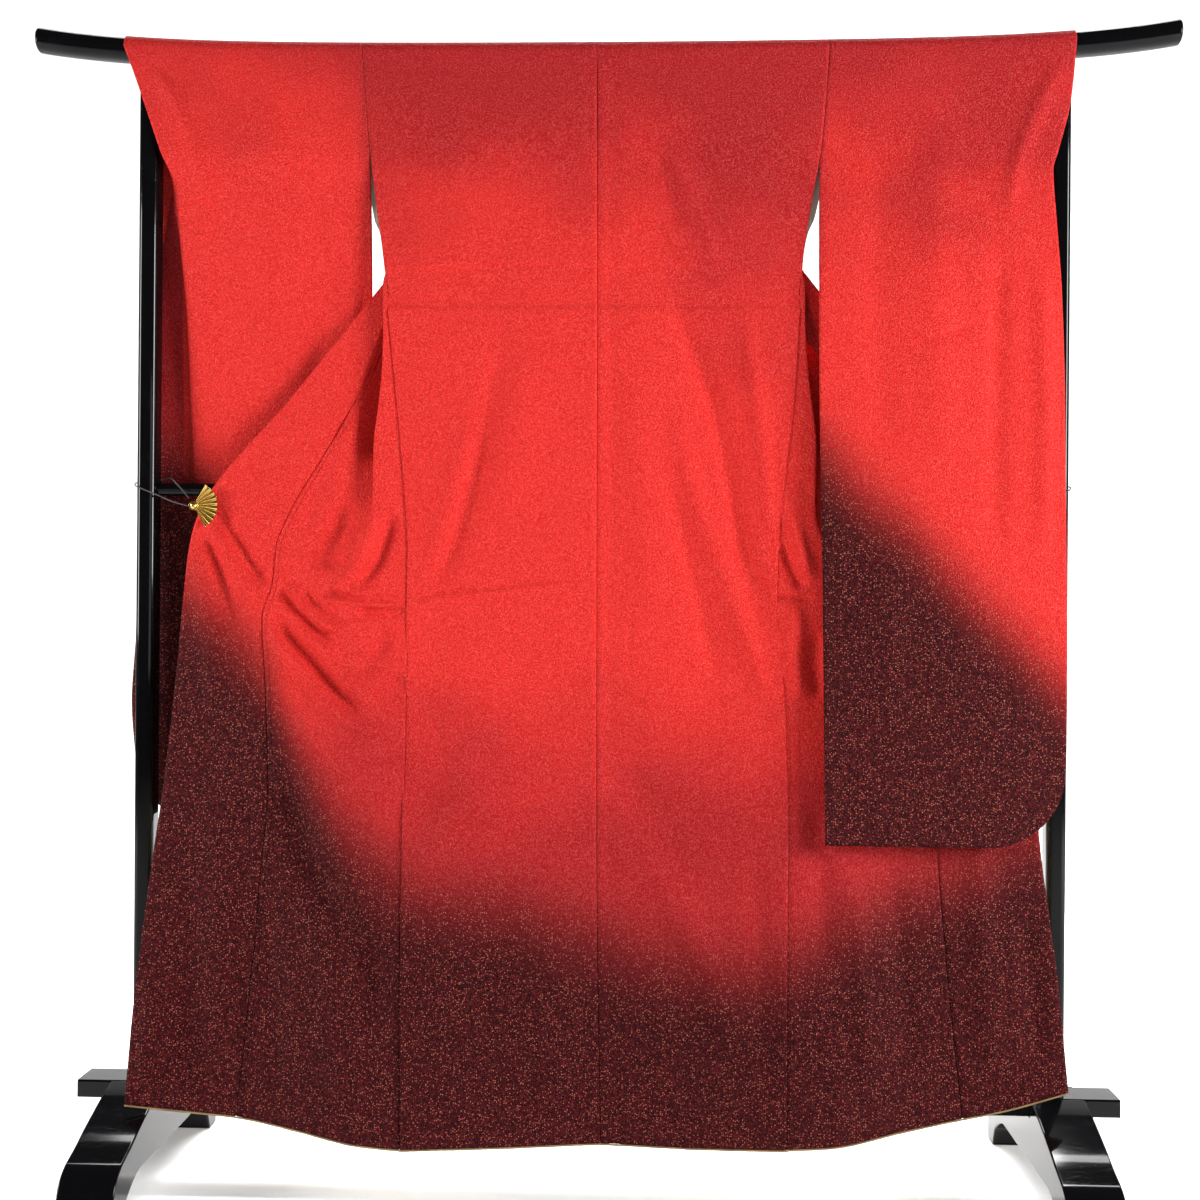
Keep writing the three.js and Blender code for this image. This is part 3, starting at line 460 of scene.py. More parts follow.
SOFT, CRISP = FoldKind.SOFT, FoldKind.CRISP
BACK_FOLDS = Relief((
    Fold([(-132, 1200), (-149, 1083), (-178, 954), (-205, 871), (-233, 826)], 17, -5.0),
    Fold([(-172, 1075), (-197, 982), (-217, 898), (-242, 838)], 15, 3.5),
    Fold([(-100, 1180), (-112, 1060), (-130, 930)], 30, 3.0),
    Fold([(92, 1460), (118, 1398), (149, 1333), (172, 1275)], 15, 3.6, SOFT, -0.4),
    Fold([(80, 1440), (98, 1384), (109, 1325)], 11, -2.5),
    Fold([(85, 1276), (127, 1176), (155, 1107), (179, 1015), (202, 887), (222, 828), (249, 743)],
         15, -5.0),
    Fold([(108, 1110), (128, 987), (157, 910), (185, 828), (213, 749), (259, 644)], 15, 4.4),
    Fold([(96, 1010), (125, 886), (148, 794), (172, 700)], 15, -4.0),
    Fold([(200, 1240), (215, 1120), (232, 1000), (240, 880)], 13, 3.4),
    Fold([(50, 1150), (62, 960), (80, 780)], 22, 2.4),
    Fold([(47, 796), (45, 762), (48, 710)], 3.5, -0.9),
    Fold([(-228, 800), (-232, 660), (-238, 520)], 30, -5.0),
    Fold([(150, 1270), (158, 1090), (170, 850), (172, 620)], 60, -5.0),
    Fold([(-140, 700), (-180, 560), (-228, 430)], 20, 3.2),
    Fold([(20, 620), (80, 520), (130, 420)], 26, -3.0),
    Fold([(64, 480), (133, 369), (174, 275), (198, 180)], 24, 4.5),
    Fold([(-99, 434), (-126, 324), (-155, 205)], 22, -4.0),
    Fold([(-40, 400), (-52, 260), (-60, 110)], 20, 2.4),
    Fold([(215, 480), (228, 330), (236, 140)], 16, -3.0),
    Fold([(-262, 812), (-230, 822), (-193, 829), (-137, 833), (-77, 841), (10, 845)], 4.5, -1.6, CRISP),
    Fold([(-262, 804), (-230, 814), (-193, 822), (-137, 826), (-77, 835), (0, 839)], 4.5, 1.3, CRISP),
    Fold([(-235, 501), (-174, 517), (-138, 524), (-87, 530), (-42, 538), (-12, 550)], 3.6, 1.5, CRISP),
    Fold([(18, 560), (50, 550), (82, 543)], 3.6, 1.1, CRISP),
    Fold([(118, 540), (200, 525), (254, 511)], 3.6, 1.5, CRISP),
), strength=1.6, fades=(1450, 1560))
BAR_FOLDS = Relief((
    Fold([(-27, 1572), (-25, 1510), (-22, 1455), (-15, 1385)], 3.4, 1.7, CRISP, -0.5),
    Fold([(-46, 1576), (-32, 1570), (-19, 1560)], 3.2, 1.4, CRISP),
    Fold([(-4, 1555), (9, 1564), (28, 1576)], 3.2, 1.4, CRISP),
    Fold([(-270, 1560), (-276, 1480), (-268, 1400)], 7, 1.2),
    Fold([(-252, 1540), (-246, 1450), (-250, 1330)], 6, 1.0),
    Fold([(-297, 1530), (-290, 1440), (-284, 1360)], 6, 1.2),
), fades=(1566, 1577))
POCKET_FOLDS = {
    Side.LEFT: Relief((
        Fold([(-301, 1290), (-303, 1200), (-305, 1120), (-311, 1055), (-318, 1005)], 22, -17.0),
        Fold([(-340, 1090), (-356, 1010), (-376, 935), (-390, 880)], 15, 6.0),
        Fold([(-376, 1020), (-398, 950), (-412, 900)], 11, -3.0),
    )),
    Side.RIGHT: Relief((
        Fold([(290, 1290), (298, 1190), (306, 1100), (312, 1060), (320, 1015)], 24, -30.0),
        Fold([(340, 1090), (356, 1010), (376, 935), (390, 880)], 15, 5.0),
    )),
}
SPREAD_FOLDS = {
    Side.LEFT: Relief((
        Fold([(-348, 955), (-366, 905), (-380, 850)], 17, -5.5),
        Fold([(-280, 945), (-291, 904), (-305, 863), (-332, 829)], 11, -5.5),
        Fold([(-306, 950), (-316, 908), (-332, 863), (-348, 836), (-334, 822), (-312, 820), (-262, 829)],
             8, 3.6),
        Fold([(-376, 823), (-361, 822), (-347, 819), (-330, 816), (-302, 818), (-268, 824)], 6, -3.6),
        Fold([(-386, 812), (-367, 813), (-347, 811), (-312, 807), (-285, 807), (-258, 811)],
             4.2, 3.6, CRISP),
        Fold([(-330, 800), (-302, 797), (-258, 800)], 9, -3.4),
        Fold([(-446, 832), (-423, 809), (-401, 788), (-382, 769), (-352, 757)], 8.5, -5.2),
        Fold([(-440, 838), (-418, 822), (-401, 802), (-376, 779), (-350, 772)], 6, 3.4),
        Fold([(-412, 832), (-393, 812), (-373, 793), (-348, 780)], 7, -3.2),
        Fold([(-464, 790), (-435, 747), (-400, 711), (-363, 669), (-336, 646), (-311, 634), (-268, 638)],
             10, 5.2),
        Fold([(-448, 800), (-421, 761), (-391, 729), (-363, 696), (-337, 670), (-312, 652)], 10, -5.2),
        Fold([(-432, 798), (-392, 758), (-364, 729), (-345, 703), (-318, 676)], 8.5, 4.0),
        Fold([(-340, 790), (-330, 762), (-322, 735)], 16, 2.8),
        Fold([(-280, 775), (-302, 735), (-325, 712)], 15, -4.2),
        Fold([(-262, 712), (-282, 693), (-308, 672)], 12, -3.2),
        Fold([(-545, 952), (-524, 925), (-501, 892), (-474, 852), (-452, 833)], 9, -4.6),
        Fold([(-540, 918), (-518, 880), (-496, 838), (-472, 800)], 10, 4.4),
        Fold([(-548, 912), (-532, 870), (-514, 820), (-498, 757)], 10, -3.8),
        Fold([(-560, 900), (-548, 830), (-536, 750), (-520, 640)], 13, 3.6),
        Fold([(-365, 612), (-323, 610), (-264, 613)], 3.6, 1.5, CRISP),
        Fold([(-330, 578), (-264, 581)], 3.2, 1.2, CRISP),
        Fold([(-340, 508), (-264, 512)], 3.2, 1.2, CRISP),
        Fold([(-440, 600), (-408, 490), (-372, 410), (-325, 330), (-270, 235)], 24, -7.5),
        Fold([(-398, 620), (-356, 500), (-312, 400), (-272, 330)], 22, 5.5),
        Fold([(-302, 480), (-296, 340), (-300, 180)], 20, -3.6),
        Fold([(-372, 400), (-350, 260), (-338, 110)], 22, 4.0),
        Fold([(-448, 420), (-440, 280), (-430, 120)], 16, -3.4),
        Fold([(-560, 480), (-556, 320), (-560, 140)], 20, -3.8),
        Fold([(-520, 560), (-512, 380), (-508, 150)], 18, 3.4),
        Fold([(-600, 330), (-600, 220), (-602, 150)], 12, 3.0),
    ), strength=1.8),
    Side.RIGHT: Relief((
        Fold([(251, 990), (266, 929), (280, 887), (298, 840)], 9, 5.0),
        Fold([(249, 900), (267, 860), (284, 832)], 8, -5.0),
        Fold([(262, 1020), (280, 985), (300, 950)], 9, -4.5),
        Fold([(245, 823), (266, 821), (300, 823)], 4.2, -3.0, CRISP),
        Fold([(266, 816), (273, 777), (268, 736), (284, 676)], 11, 4.4),
        Fold([(300, 780), (298, 730), (306, 680)], 10, -4.5),
        Fold([(350, 860), (345, 760), (330, 660)], 16, 4.0),
        Fold([(545, 930), (470, 790), (395, 640)], 14, 4.5),
        Fold([(520, 905), (430, 760), (350, 620)], 14, -4.5),
        Fold([(300, 560), (310, 440), (312, 300)], 17, -3.8),
        Fold([(345, 470), (362, 330), (372, 150)], 18, 3.8),
        Fold([(400, 500), (418, 330), (432, 150)], 16, -3.2),
        Fold([(520, 520), (526, 350), (540, 170)], 18, 3.4),
        Fold([(580, 420), (590, 300), (596, 190)], 14, -3.2),
    ), strength=1.7),
}
SLEEVE_FOLDS = {
    Side.LEFT: Relief((
        Fold([(-632, 1566), (-590, 1500), (-562, 1420), (-556, 1330)], 12, 3.4),
        Fold([(-540, 1420), (-538, 1236), (-538, 996)], 12, -3.0),
        Fold([(-470, 1530), (-466, 1330), (-474, 1080)], 26, 3.0),
        Fold([(-400, 1480), (-396, 1250), (-402, 1020)], 20, -2.6),
        Fold([(-350, 1380), (-348, 1240), (-352, 1090)], 12, 2.0),
        Fold([(-470, 900), (-480, 760), (-490, 600)], 26, -2.0),
    ), strength=1.3, fades=BELOW_BAR),
    Side.RIGHT: Relief((
        Fold([(636, 1566), (600, 1493), (570, 1411), (560, 1330)], 12, 3.4),
        Fold([(547, 1330), (543, 1093), (539, 860)], 14, -3.4),
        Fold([(604, 1300), (609, 1093), (602, 860)], 13, 3.4),
        Fold([(470, 1500), (462, 1250), (470, 960)], 28, 3.0),
        Fold([(390, 1480), (384, 1250), (392, 980)], 22, -2.6),
        Fold([(400, 900), (396, 760), (402, 620)], 24, 2.0),
        Fold([(528, 800), (547, 803), (590, 799), (634, 790)], 3.4, -1.5, CRISP),
        Fold([(557, 770), (554, 685), (560, 584)], 4.0, -1.5, CRISP),
        Fold([(430, 1165), (475, 1181), (524, 1199)], 3.0, -1.3, CRISP),
    ), strength=1.3, fades=BELOW_BAR),
}


# ------------------------------------------------------------------ shared sizes of the garment
def bar_height(x: np.ndarray) -> np.ndarray:
    """Height of the bar's centre line, which rises towards its upturned ends."""
    r = np.abs(x) / (BAR_LENGTH / 2)
    return TOP + BAR_SWEEP * r**2 + BAR_UPTURN * r**6


def bar_rise(level: np.ndarray, x: np.ndarray) -> np.ndarray:
    """How far a level near the bar rises at x to follow the bar's curve."""
    return smoothstep(level, BAR_SWAY, TOP) * (bar_height(x) - TOP)


def true_height(level: np.ndarray, x: np.ndarray) -> np.ndarray:
    """Height of a level at x: the lowest level runs along the hem, the top one along the bar.

    Args:
        level: Level of the row.
        x: Place across.

    Returns:
        Heights in millimetres.
    """
    to_hem = np.maximum(0, (HEM_SWAY - level) / (HEM_SWAY - LOWEST)) ** 2
    return level + to_hem * (HEM.read("z", x) - LOWEST) + bar_rise(level, x)


def levels(*stretches: tuple[float, float, float]) -> np.ndarray:
    """Heights of rows, from stretches of (start, end, step) that follow each other.

    Args:
        stretches: Start, end and step of each stretch.

    Returns:
        The heights, each stretch without its own end but for the last.
    """
    parts = []
    for start, end, step in stretches:
        count = max(1, round(abs(end - start) / step))
        parts.append(np.linspace(start, end, count, endpoint=False))
    return np.append(np.concatenate(parts), stretches[-1][1])


def dye_depth(grid: np.ndarray, sleeve: Side | None = None) -> np.ndarray:
    """How far each point lies below the line where the dark ground begins.

    Args:
        grid: Points in millimetres, shape (rows, columns, 3).
        sleeve: The side of a sleeve, which has a line of its own.

    Returns:
        Depths in millimetres, above the line negative.
    """
    x, z = grid[..., 0], grid[..., 2]
    line = DYE_SLEEVE[sleeve].read("z", np.abs(x)) if sleeve else DYE_BODY.read("z", x)
    return line - z


# ------------------------------------------------------------------ mesh helpers
def seat(name: str, mesh: bpy.types.Mesh, node: str) -> bpy.types.Object:
    """Puts a mesh in the scene in place of a solid.

    Args:
        name: Name of the piece.
        mesh: Its mesh.
        node: The solid that it replaces.

    Returns:
        The piece, riding on the root body.
    """
    piece = bpy.data.objects.new(name, mesh)
    bpy.context.scene.collection.objects.link(piece)
    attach(piece, "root")
    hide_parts(node)
    LOG.info("%s: %d faces in place of %s", name, len(mesh.polygons), node)
    return piece


def close_shape(shape: bmesh.types.BMesh, name: str, material: bpy.types.Material) -> bpy.types.Mesh:
    """Turns a finished shape into a smooth mesh whose faces look outwards.

    Args:
        shape: The shape, which is freed.
        name: Name of the mesh.
        material: Its material.

    Returns:
        The mesh.
    """
    bmesh.ops.recalc_face_normals(shape, faces=shape.faces)
    mesh = bpy.data.meshes.new(name)
    shape.to_mesh(mesh)
    shape.free()
    mesh.materials.append(material)
    mesh.polygons.foreach_set("use_smooth", np.ones(len(mesh.polygons), bool))
    return mesh


def tube_mesh(name: str, rings: np.ndarray, material: bpy.types.Material) -> bpy.types.Mesh:
    """Closed tube through rings of points, with flat caps.

    Args:
        name: Name of the mesh.
        rings: Shape (rings, sides, 3), in millimetres.
        material: Its material.

    Returns:
        The mesh.
    """
    count, sides = rings.shape[:2]
    at = np.arange(count * sides).reshape(count, sides)
    following = np.roll(at, -1, axis=1)
    quads = np.stack([at[:-1], following[:-1], following[1:], at[1:]], -1).reshape(-1, 4).tolist()
    caps = [at[0, ::-1].tolist(), at[-1].tolist()]
    plain_mesh = bpy.data.meshes.new(name)
    plain_mesh.from_pydata((rings * LAY).reshape(-1, 3).tolist(), [], quads + caps)
    shape = bmesh.new()
    shape.from_mesh(plain_mesh)
    bpy.data.meshes.remove(plain_mesh)
    mesh = close_shape(shape, name, material)
    for cap in range(len(quads), len(quads) + len(caps)):
        mesh.polygons[cap].use_smooth = False
    return mesh


def soften(piece: bpy.types.Object, width: float, segments: int) -> None:
    """Rounds a piece's sharp edges with a bevel.

    Args:
        piece: The piece.
        width: Width of the bevel in millimetres.
        segments: Its segments.
    """
    bevel = piece.modifiers.new("rounded edges", "BEVEL")
    bevel.width = width * LAY
    bevel.segments = segments
    bevel.limit_method = "ANGLE"
    bevel.angle_limit = SHARP_ANGLE
    bevel.harden_normals = True


# ------------------------------------------------------------------ cloth as thin shells
@dataclass
class Cloth:
    """A piece of cloth as a thin shell: its face outside, its lining inside."""

    name: str
    side: Side
    face: bpy.types.Material
    lining: bpy.types.Material
    flat: tuple[float, float] = (0.0, 0.0)
    thick: float = CLOTH

    def normals(self, grid: np.ndarray) -> np.ndarray:
        """Outward direction at each point of a grid.

        Args:
            grid: Shape (rows, columns, 3).

        Returns:
            Unit vectors of the same shape.
        """
        across, down = np.gradient(grid, axis=1), np.gradient(grid, axis=0)
        return unit(np.cross(unit(across), unit(down))) * self.side.value

    def settle(self, grid: np.ndarray, lift: np.ndarray) -> np.ndarray:
        """Lifts a grid's points along their outward directions.

        Args:
            grid: Shape (rows, columns, 3).
            lift: Shape (rows, columns), in millimetres.

        Returns:
            The lifted grid.
        """
        return grid + self.normals(grid) * lift[..., None]

    def shell(
        self,
        grid: np.ndarray,
        dye: np.ndarray,
        low: np.ndarray,
        faced: np.ndarray | None = None,
        painted_shade_tone: float | np.ndarray = CLEAR,
    ) -> bpy.types.Mesh:
        """Makes the shell's mesh.

        Args:
            grid: Middle surface in millimetres, shape (rows, columns, 3).
            dye: Depth below the dye line in millimetres, shape (rows, columns).
            low: How far each point is below the line of the lower lining, the same shape.
            faced: Where the inside is faced with the outer cloth, the same shape.
            painted_shade_tone: Least depth of the red, in millimetres above the line of DEEPER, where a
                deeper red is painted as shade.

        Returns:
            The mesh, whose points carry dye, low and depth_of_red_and_shade in metres; the last is the dye's
            deeper red with painted shade in it.
        """
        rows, columns = grid.shape[:2]
        out = self.normals(grid) * self.thick / 2
        points = np.concatenate([(grid + out).reshape(-1, 3), (grid - out).reshape(-1, 3)]) * LAY
        at = np.arange(rows * columns).reshape(rows, columns)
        quads = np.stack([at[:-1, :-1], at[:-1, 1:], at[1:, 1:], at[1:, :-1]], -1).reshape(-1, 4)
        edge = np.concatenate([at[0, :-1], at[:-1, -1], at[-1, :0:-1], at[:0:-1, 0]])
        following = np.roll(edge, -1)
        rim = np.stack([edge, edge + rows * columns, following + rows * columns, following], -1)
        if self.side is Side.LEFT:
            quads, rim = quads[:, ::-1], rim[:, ::-1]
        faces = np.concatenate([quads, quads[:, ::-1] + rows * columns, rim])
        mesh = bpy.data.meshes.new(self.name)
        mesh.from_pydata(points.tolist(), [], faces.tolist())
        mesh.polygons.foreach_set("use_smooth", np.arange(len(faces)) < 2 * len(quads))
        lined = np.zeros(len(faces), np.int32)
        lined[len(quads): 2 * len(quads)] = 1 if faced is None else ~faced[:-1, :-1].ravel()
        mesh.polygons.foreach_set("material_index", lined)
        # The red deepens above DEEPER (partly painted shade of the upper garment), below the lower lining,
        # and where a piece paints shade.
        high = grid[..., 2] - DEEPER.read("z", grid[..., 0])
        depth_of_red_and_shade = np.maximum(np.maximum(high, LOW_TONE * low), painted_shade_tone)
        for key, values in (("dye", dye), ("low", low), ("depth_of_red_and_shade", depth_of_red_and_shade)):
            layer = mesh.attributes.new(key, "FLOAT", "POINT")
            layer.data.foreach_set("value", (np.tile(values.ravel(), 2) * LAY).astype(np.float32))
        mesh.materials.append(self.face)
        mesh.materials.append(self.lining)
        mesh.update()
        return mesh

    def declare(self, mesh: bpy.types.Mesh, node: str, held: Held, **area: float) -> bpy.types.Object:
        """Puts the shell in place of its solid.

        Args:
            mesh: The shell.
            node: The solid that it replaces.
            held: How the cloth is held up; not used.
            area: The cut's area in square metres as "area", where it isn't all of the flat size; not used.

        Returns:
            The piece.
        """
        piece = seat(self.name, mesh, node)
        return piece


def crowd(grid: np.ndarray, cells: int, strip: float) -> np.ndarray:
    """Slides the first stretch's columns so that some lie close by the strip beside a seam.

    Args:
        grid: Shape (rows, columns, 3).
        cells: How many cells the stretch has.
        strip: Width of the strip beside the seam.

    Returns:
        The grid with its columns slid along their rows.
    """
    grid = grid.copy()
    part = grid[:, : cells + 1]
    near = np.concatenate([[0, 3.5], strip + np.array([-1.2, -0.4, 0.4, 1.2, 4, 9])])
    slid = np.empty_like(part)
    for i, (row, along) in enumerate(zip(part, running_length(part[..., :2]))):
        goal = np.concatenate([near, np.linspace(near[-1], along[-1], cells + 2 - len(near))[1:]])
        for axis in range(3):
            slid[i, :, axis] = np.interp(goal, along, row[:, axis])
    grid[:, : cells + 1] = slid
    return grid


def front_bends(side: Side, level: np.ndarray, overlapping: bool) -> np.ndarray:
    """Bend points of the opened front's section, from its free edge to the side seam.

    Args:
        side: Which front.
        level: Levels of the sections.
        overlapping: Whether the overlap panel is part of them.

    Returns:
        Shape (rows, bends, 2), each bend as distance outwards and y.
    """
    edge = BACK_EDGE[side].read("out", level)
    free = level > SIDE_SEAM_TOP
    sewn_y = BACK_STAND.read("side", level) + SIDE_SEAM.read("behind", level)
    side_out = edge + np.where(free, FREE_SIDE.read("shift", level), SIDE_SEAM.read("shift", level))
    side_y = np.where(free, FREE_SIDE.read("y", level), sewn_y)
    fold = {name: DEEP_FOLD.read(name, level) for name in DEEP_FOLD.names.split()[1:]}
    turned = smoothstep(level, *CLIP_FADE) * fade(level, 1340, 1480)
    share = lerp(0.35, 0.1, turned)
    tables = [FRONT_EDGE[side], OVERLAP_SEAM[side]] if overlapping else [FRONT_EDGE[side]]
    bends = [(table.read("out", level), table.read("y", level)) for table in tables]
    bends += [
        (edge + fold["outer"], fold["outerY"]),
        (edge + fold["inner"], fold["innerY"]),
        (edge + lerp(fold["lip"], fold["inner"], share),
         lerp(fold["lipY"], fold["innerY"], share) + 5 * turned),
        (edge + fold["lip"], fold["lipY"]),
        (side_out, side_y),
    ]
    return np.stack([np.stack(bend, -1) for bend in bends], 1)


def section_rows(side: Side, level: np.ndarray, places: np.ndarray, seam_gap: float) -> np.ndarray:
    """Rows of the opened front at some levels.

    Args:
        side: Which front.
        level: Levels of the rows.
        places: Bend numbers counted from the overlap's seam; negative ones lie on the overlap.
        seam_gap: How far the first or last column stays from the seam.

    Returns:
        Shape (rows, columns, 3).
    """
    grid = np.empty((len(level), len(places), 3))
    column, way = (0, 1) if places[0] >= 0 else (-1, -1)
    over = level < OVERLAP_TIP
    for mask, seam in ((over, 1), (~over, 0)):
        if not mask.any():
            continue
        rows = level[mask]
        bends = front_bends(side, rows, bool(seam))
        last = bends.shape[1] - 1
        points = spline(bends, np.clip((seam + places) / last, 0, 1))
        if seam:
            step = spline(bends, np.array([seam / last, seam / last + way * 0.01]))
            points[:, column] = step[:, 0] + unit(step[:, 1] - step[:, 0]) * seam_gap
        x = side.value * points[..., 0]
        grid[mask] = np.stack([x, points[..., 1], true_height(rows[:, None], x)], -1)
    return grid


def wrap_rows(near: np.ndarray, far: np.ndarray) -> np.ndarray:
    """Rows that go over the bar from the near face to the far one.

    Args:
        near: Row of points before the bar.
        far: Row of points behind it.

    Returns:
        Shape (rows, columns, 3).
    """
    share = np.linspace(0, 1, WRAP_STEPS + 1)[:, None]
    angle = math.pi * share
    x = lerp(near[None, :, 0], far[None, :, 0], smoothstep(share, 0.7, 1))
    y = -WRAP_RADIUS * np.cos(angle) + 0 * x
    return np.stack([x, y, bar_height(x) + WRAP_RADIUS * np.sin(angle)], -1)


@dataclass
class BodyLength(Cloth):
    """One length of cloth, up the back, over the bar and down the spread front."""

    flat: tuple[float, float] = (0.31, 3.06)
    welt: float = 8.0
    under: float = 1.1
    tuck: float = 2.3

    def back(self, level: np.ndarray) -> np.ndarray:
        """Middle surface of the back.

        Args:
            level: Levels of the rows.

        Returns:
            Shape (rows, columns, 3).
        """
        sign = self.side.value
        u = np.linspace(0, 1, BODY_CELLS + 1)[None]
        level = level[:, None]
        under = self.under * (self.side is Side.RIGHT) * fade(level, *BELOW_BAR)
        seam = CENTRE_SEAM.read("x", level) + sign * (SEAM_GAP / 2 - under)
        x = lerp(seam, sign * BACK_EDGE[self.side].read("out", level), u)
        z = true_height(level, x)
        c, h, s = (BACK_STAND.read(name, level) for name in ("centre", "half", "side"))
        y = c * (2 * u - 1) * (u - 1) + h * 4 * u * (1 - u) + s * u * (2 * u - 1)
        return np.stack([x, y + 0 * x, z], -1)

    def back_lift(self, grid: np.ndarray) -> np.ndarray:
        """Folds, seams and the tuck on the back.

        The centre seam's allowance lies to the right, so the right length sinks beside the seam.

        Args:
            grid: The back's middle surface.

        Returns:
            Outward lift in millimetres.
        """
        x, z = grid[..., 0], grid[..., 2]
        width, edge = np.abs(x - x[:, :1]), np.abs(x[:, -1:] - x)
        if self.side is Side.RIGHT:
            centre = -2.1 * fade(width, 1.0, 3.2) + 0.5 * bell(width - 7, 4) - 1.4 * bell(width - 21, 9)
        else:
            centre = -0.5 * np.exp(-width / 1.4) + 0.5 * bell(width - 6, 4)
        outer = -0.3 * np.exp(-edge / 1.4) + 0.5 * bell(edge - 5, 4)
        tuck = -self.tuck * fade(z - TUCK.read("z", x), -1.2, 1.2) * smoothstep(z, 1219, 1226)
        lift = BACK_FOLDS.lift(x, z) + BAR_FOLDS.lift(x, z)
        return lift + (centre + tuck) * fade(z, *BELOW_BAR) + fade(z, 1215, SIDE_SEAM_TOP) * outer

    def front(self, level: np.ndarray) -> np.ndarray:
        """Middle surface of the front, from the overlap's seam to the side seam.

        Args:
            level: Levels of the rows.

        Returns:
            Shape (rows, columns, 3).
        """
        places = np.concatenate([
            k + np.arange(cells) / cells for k, cells in enumerate(STRETCH_CELLS)
        ] + [np.array([len(STRETCH_CELLS)])])
        grid = section_rows(self.side, level, places, seam_gap=SEAM_GAP / 2)
        return crowd(grid, STRETCH_CELLS[0], self.welt)

    def front_lift(self, grid: np.ndarray, level: np.ndarray) -> np.ndarray:
        """Folds of the spread front, its pocket beside the back, and the welt of its seam.

        Args:
            grid: The front's middle surface.
            level: Levels of its rows.

        Returns:
            Outward lift in millimetres.
        """
        x, z = grid[..., 0], grid[..., 2]
        level = level[:, None]
        panel = fade(np.arange(grid.shape[1]), STRETCH_CELLS[0] - 6, STRETCH_CELLS[0])[None]
        lift = SPREAD_FOLDS[self.side].lift(x, z) * fade(level, *CLIP_FADE)
        lift = lift + POCKET_FOLDS[self.side].lift(x, z) * panel * fade(level, 1200, 1290)
        width = running_length(grid[..., :2])
        past = smoothstep(width, self.welt - 0.7, self.welt + 0.7)
        ridge = 1.1 * np.exp(-np.maximum(0, width - self.welt) / 5)
        return lift + fade(level, 1280, 1320) * (ridge * past - 0.7 * (1 - past))

    def build(self) -> bpy.types.Object:
        """Makes the length of cloth and puts it in place.

        Returns:
            The piece.
        """
        back_level = levels(
            (LOWEST, 495, 6), (495, 565, 2.5), (565, 795, 6), (795, 855, 2.2), (855, 1214, 6),
            (1214, 1230, 2.5), (1230, 1260, 6), (1260, 1288, 1.6), (1288, 1548, 6), (1548, 1572, 3),
        )
        front_level = levels(
            (1572, 1330, 6), (1330, 1230, 4), (1230, 870, 5), (870, 740, 2.4), (740, 500, 4),
            (500, LOWEST, 6.5),
        )
        back = self.back(back_level)
        back = self.settle(back, self.back_lift(back))
        front = self.front(front_level)
        front = self.settle(front, self.front_lift(front, front_level))
        bar = np.array([TOP])
        grid = np.concatenate([back, wrap_rows(self.back(bar)[0], self.front(bar)[0]), front])
        mesh = self.shell(grid, dye_depth(grid), LOWER_LINING - grid[..., 2])
        return self.declare(mesh, f"body_{self.side.word}", Held.DRAPED, area=0.86)


@dataclass
class OverlapPanel(Cloth):
    """The narrow panel sewn to the front edge, wide at the hem and running out to a tip."""

    flat: tuple[float, float] = (0.17, 1.33)
    cells: int = 30
    under: float = 1.2
    sunk: float = 3.4

    def build(self) -> bpy.types.Object:
        """Makes the panel, its sewn edge sunk under the body's welt.

        Returns:
            The piece.
        """
        level = levels((1318, 960, 5), (960, 700, 3), (700, LOWEST, 6))
        places = np.concatenate([np.linspace(-1, -0.03, self.cells), [-0.012, 0]])
        grid = section_rows(self.side, level, places, seam_gap=-self.under)
        lift = SPREAD_FOLDS[self.side].lift(grid[..., 0], grid[..., 2])
        lift = lift * fade(level, *CLIP_FADE)[:, None]
        width = running_length(grid[..., :2])
        lift = lift - self.sunk * fade(width[:, -1:] - width, 1.0, 5.0)
        grid = self.settle(grid, lift)
        mesh = self.shell(grid, dye_depth(grid), LOWER_LINING - grid[..., 2])
        return self.declare(mesh, f"overlap_{self.side.word}", Held.HUNG, area=0.19)


@dataclass
class CollarBand(Cloth):
    """The collar: a band folded double behind the front edges, from clip to clip round the neck."""

    flat: tuple[float, float] = (0.055, 1.86)
    thick: float = 3.0
    wide: float = 55.0
    neck_radius: float = 110.0
    neck_half: float = 88.0
    neck_height: float = 1540.0
    foot: float = 944.0
    behind: float = 3.1
    cells: int = 12

    def line(self, side: Side) -> np.ndarray:
        """The sewn edge of the band on one side, from the clip to the middle of the neck.

        Args:
            side: Which side.

        Returns:
            Points in millimetres.
        """
        edge = FRONT_EDGE[side]
        z = np.linspace(self.foot, self.neck_height, 110)
        straight = np.stack([side.value * edge.read("out", z), edge.read("y", z), z], -1)
        opened = math.asin(self.neck_half / self.neck_radius)
        low = self.neck_height - self.neck_radius * math.cos(opened)
        angle = opened * (1 - np.arange(1, 19) / 18)
        arc_z = low + self.neck_radius * np.cos(angle)
        arc_x = side.value * self.neck_radius * np.sin(angle)
        return np.concatenate([straight, np.stack([arc_x, edge.read("y", arc_z), arc_z], -1)])

    def build(self) -> bpy.types.Object:
        """Makes the band, leaning back further towards the neck.

        Returns:
            The piece.
        """
        path = np.concatenate([self.line(Side.LEFT), self.line(Side.RIGHT)[::-1][1:]])
        run = unit(np.gradient(path, axis=0))
        across = unit(np.cross(np.array([0.0, 1.0, 0.0]), run))
        t = np.linspace(0, 1, self.cells + 1)
        grid = path[:, None] + across[:, None] * (self.wide * t)[None, :, None]
        lean = lerp(2.0, 8.0, smoothstep(path[:, 2], 1050, 1256))[:, None]
        grid[..., 1] = path[:, None, 1] + self.behind + t[None] * lean
        above = np.full(grid.shape[:2], CLEAR)
        piece = self.declare(self.shell(grid, above, above), "collar", Held.STRETCHED)
        soften(piece, 0.6, 2)
        return piece


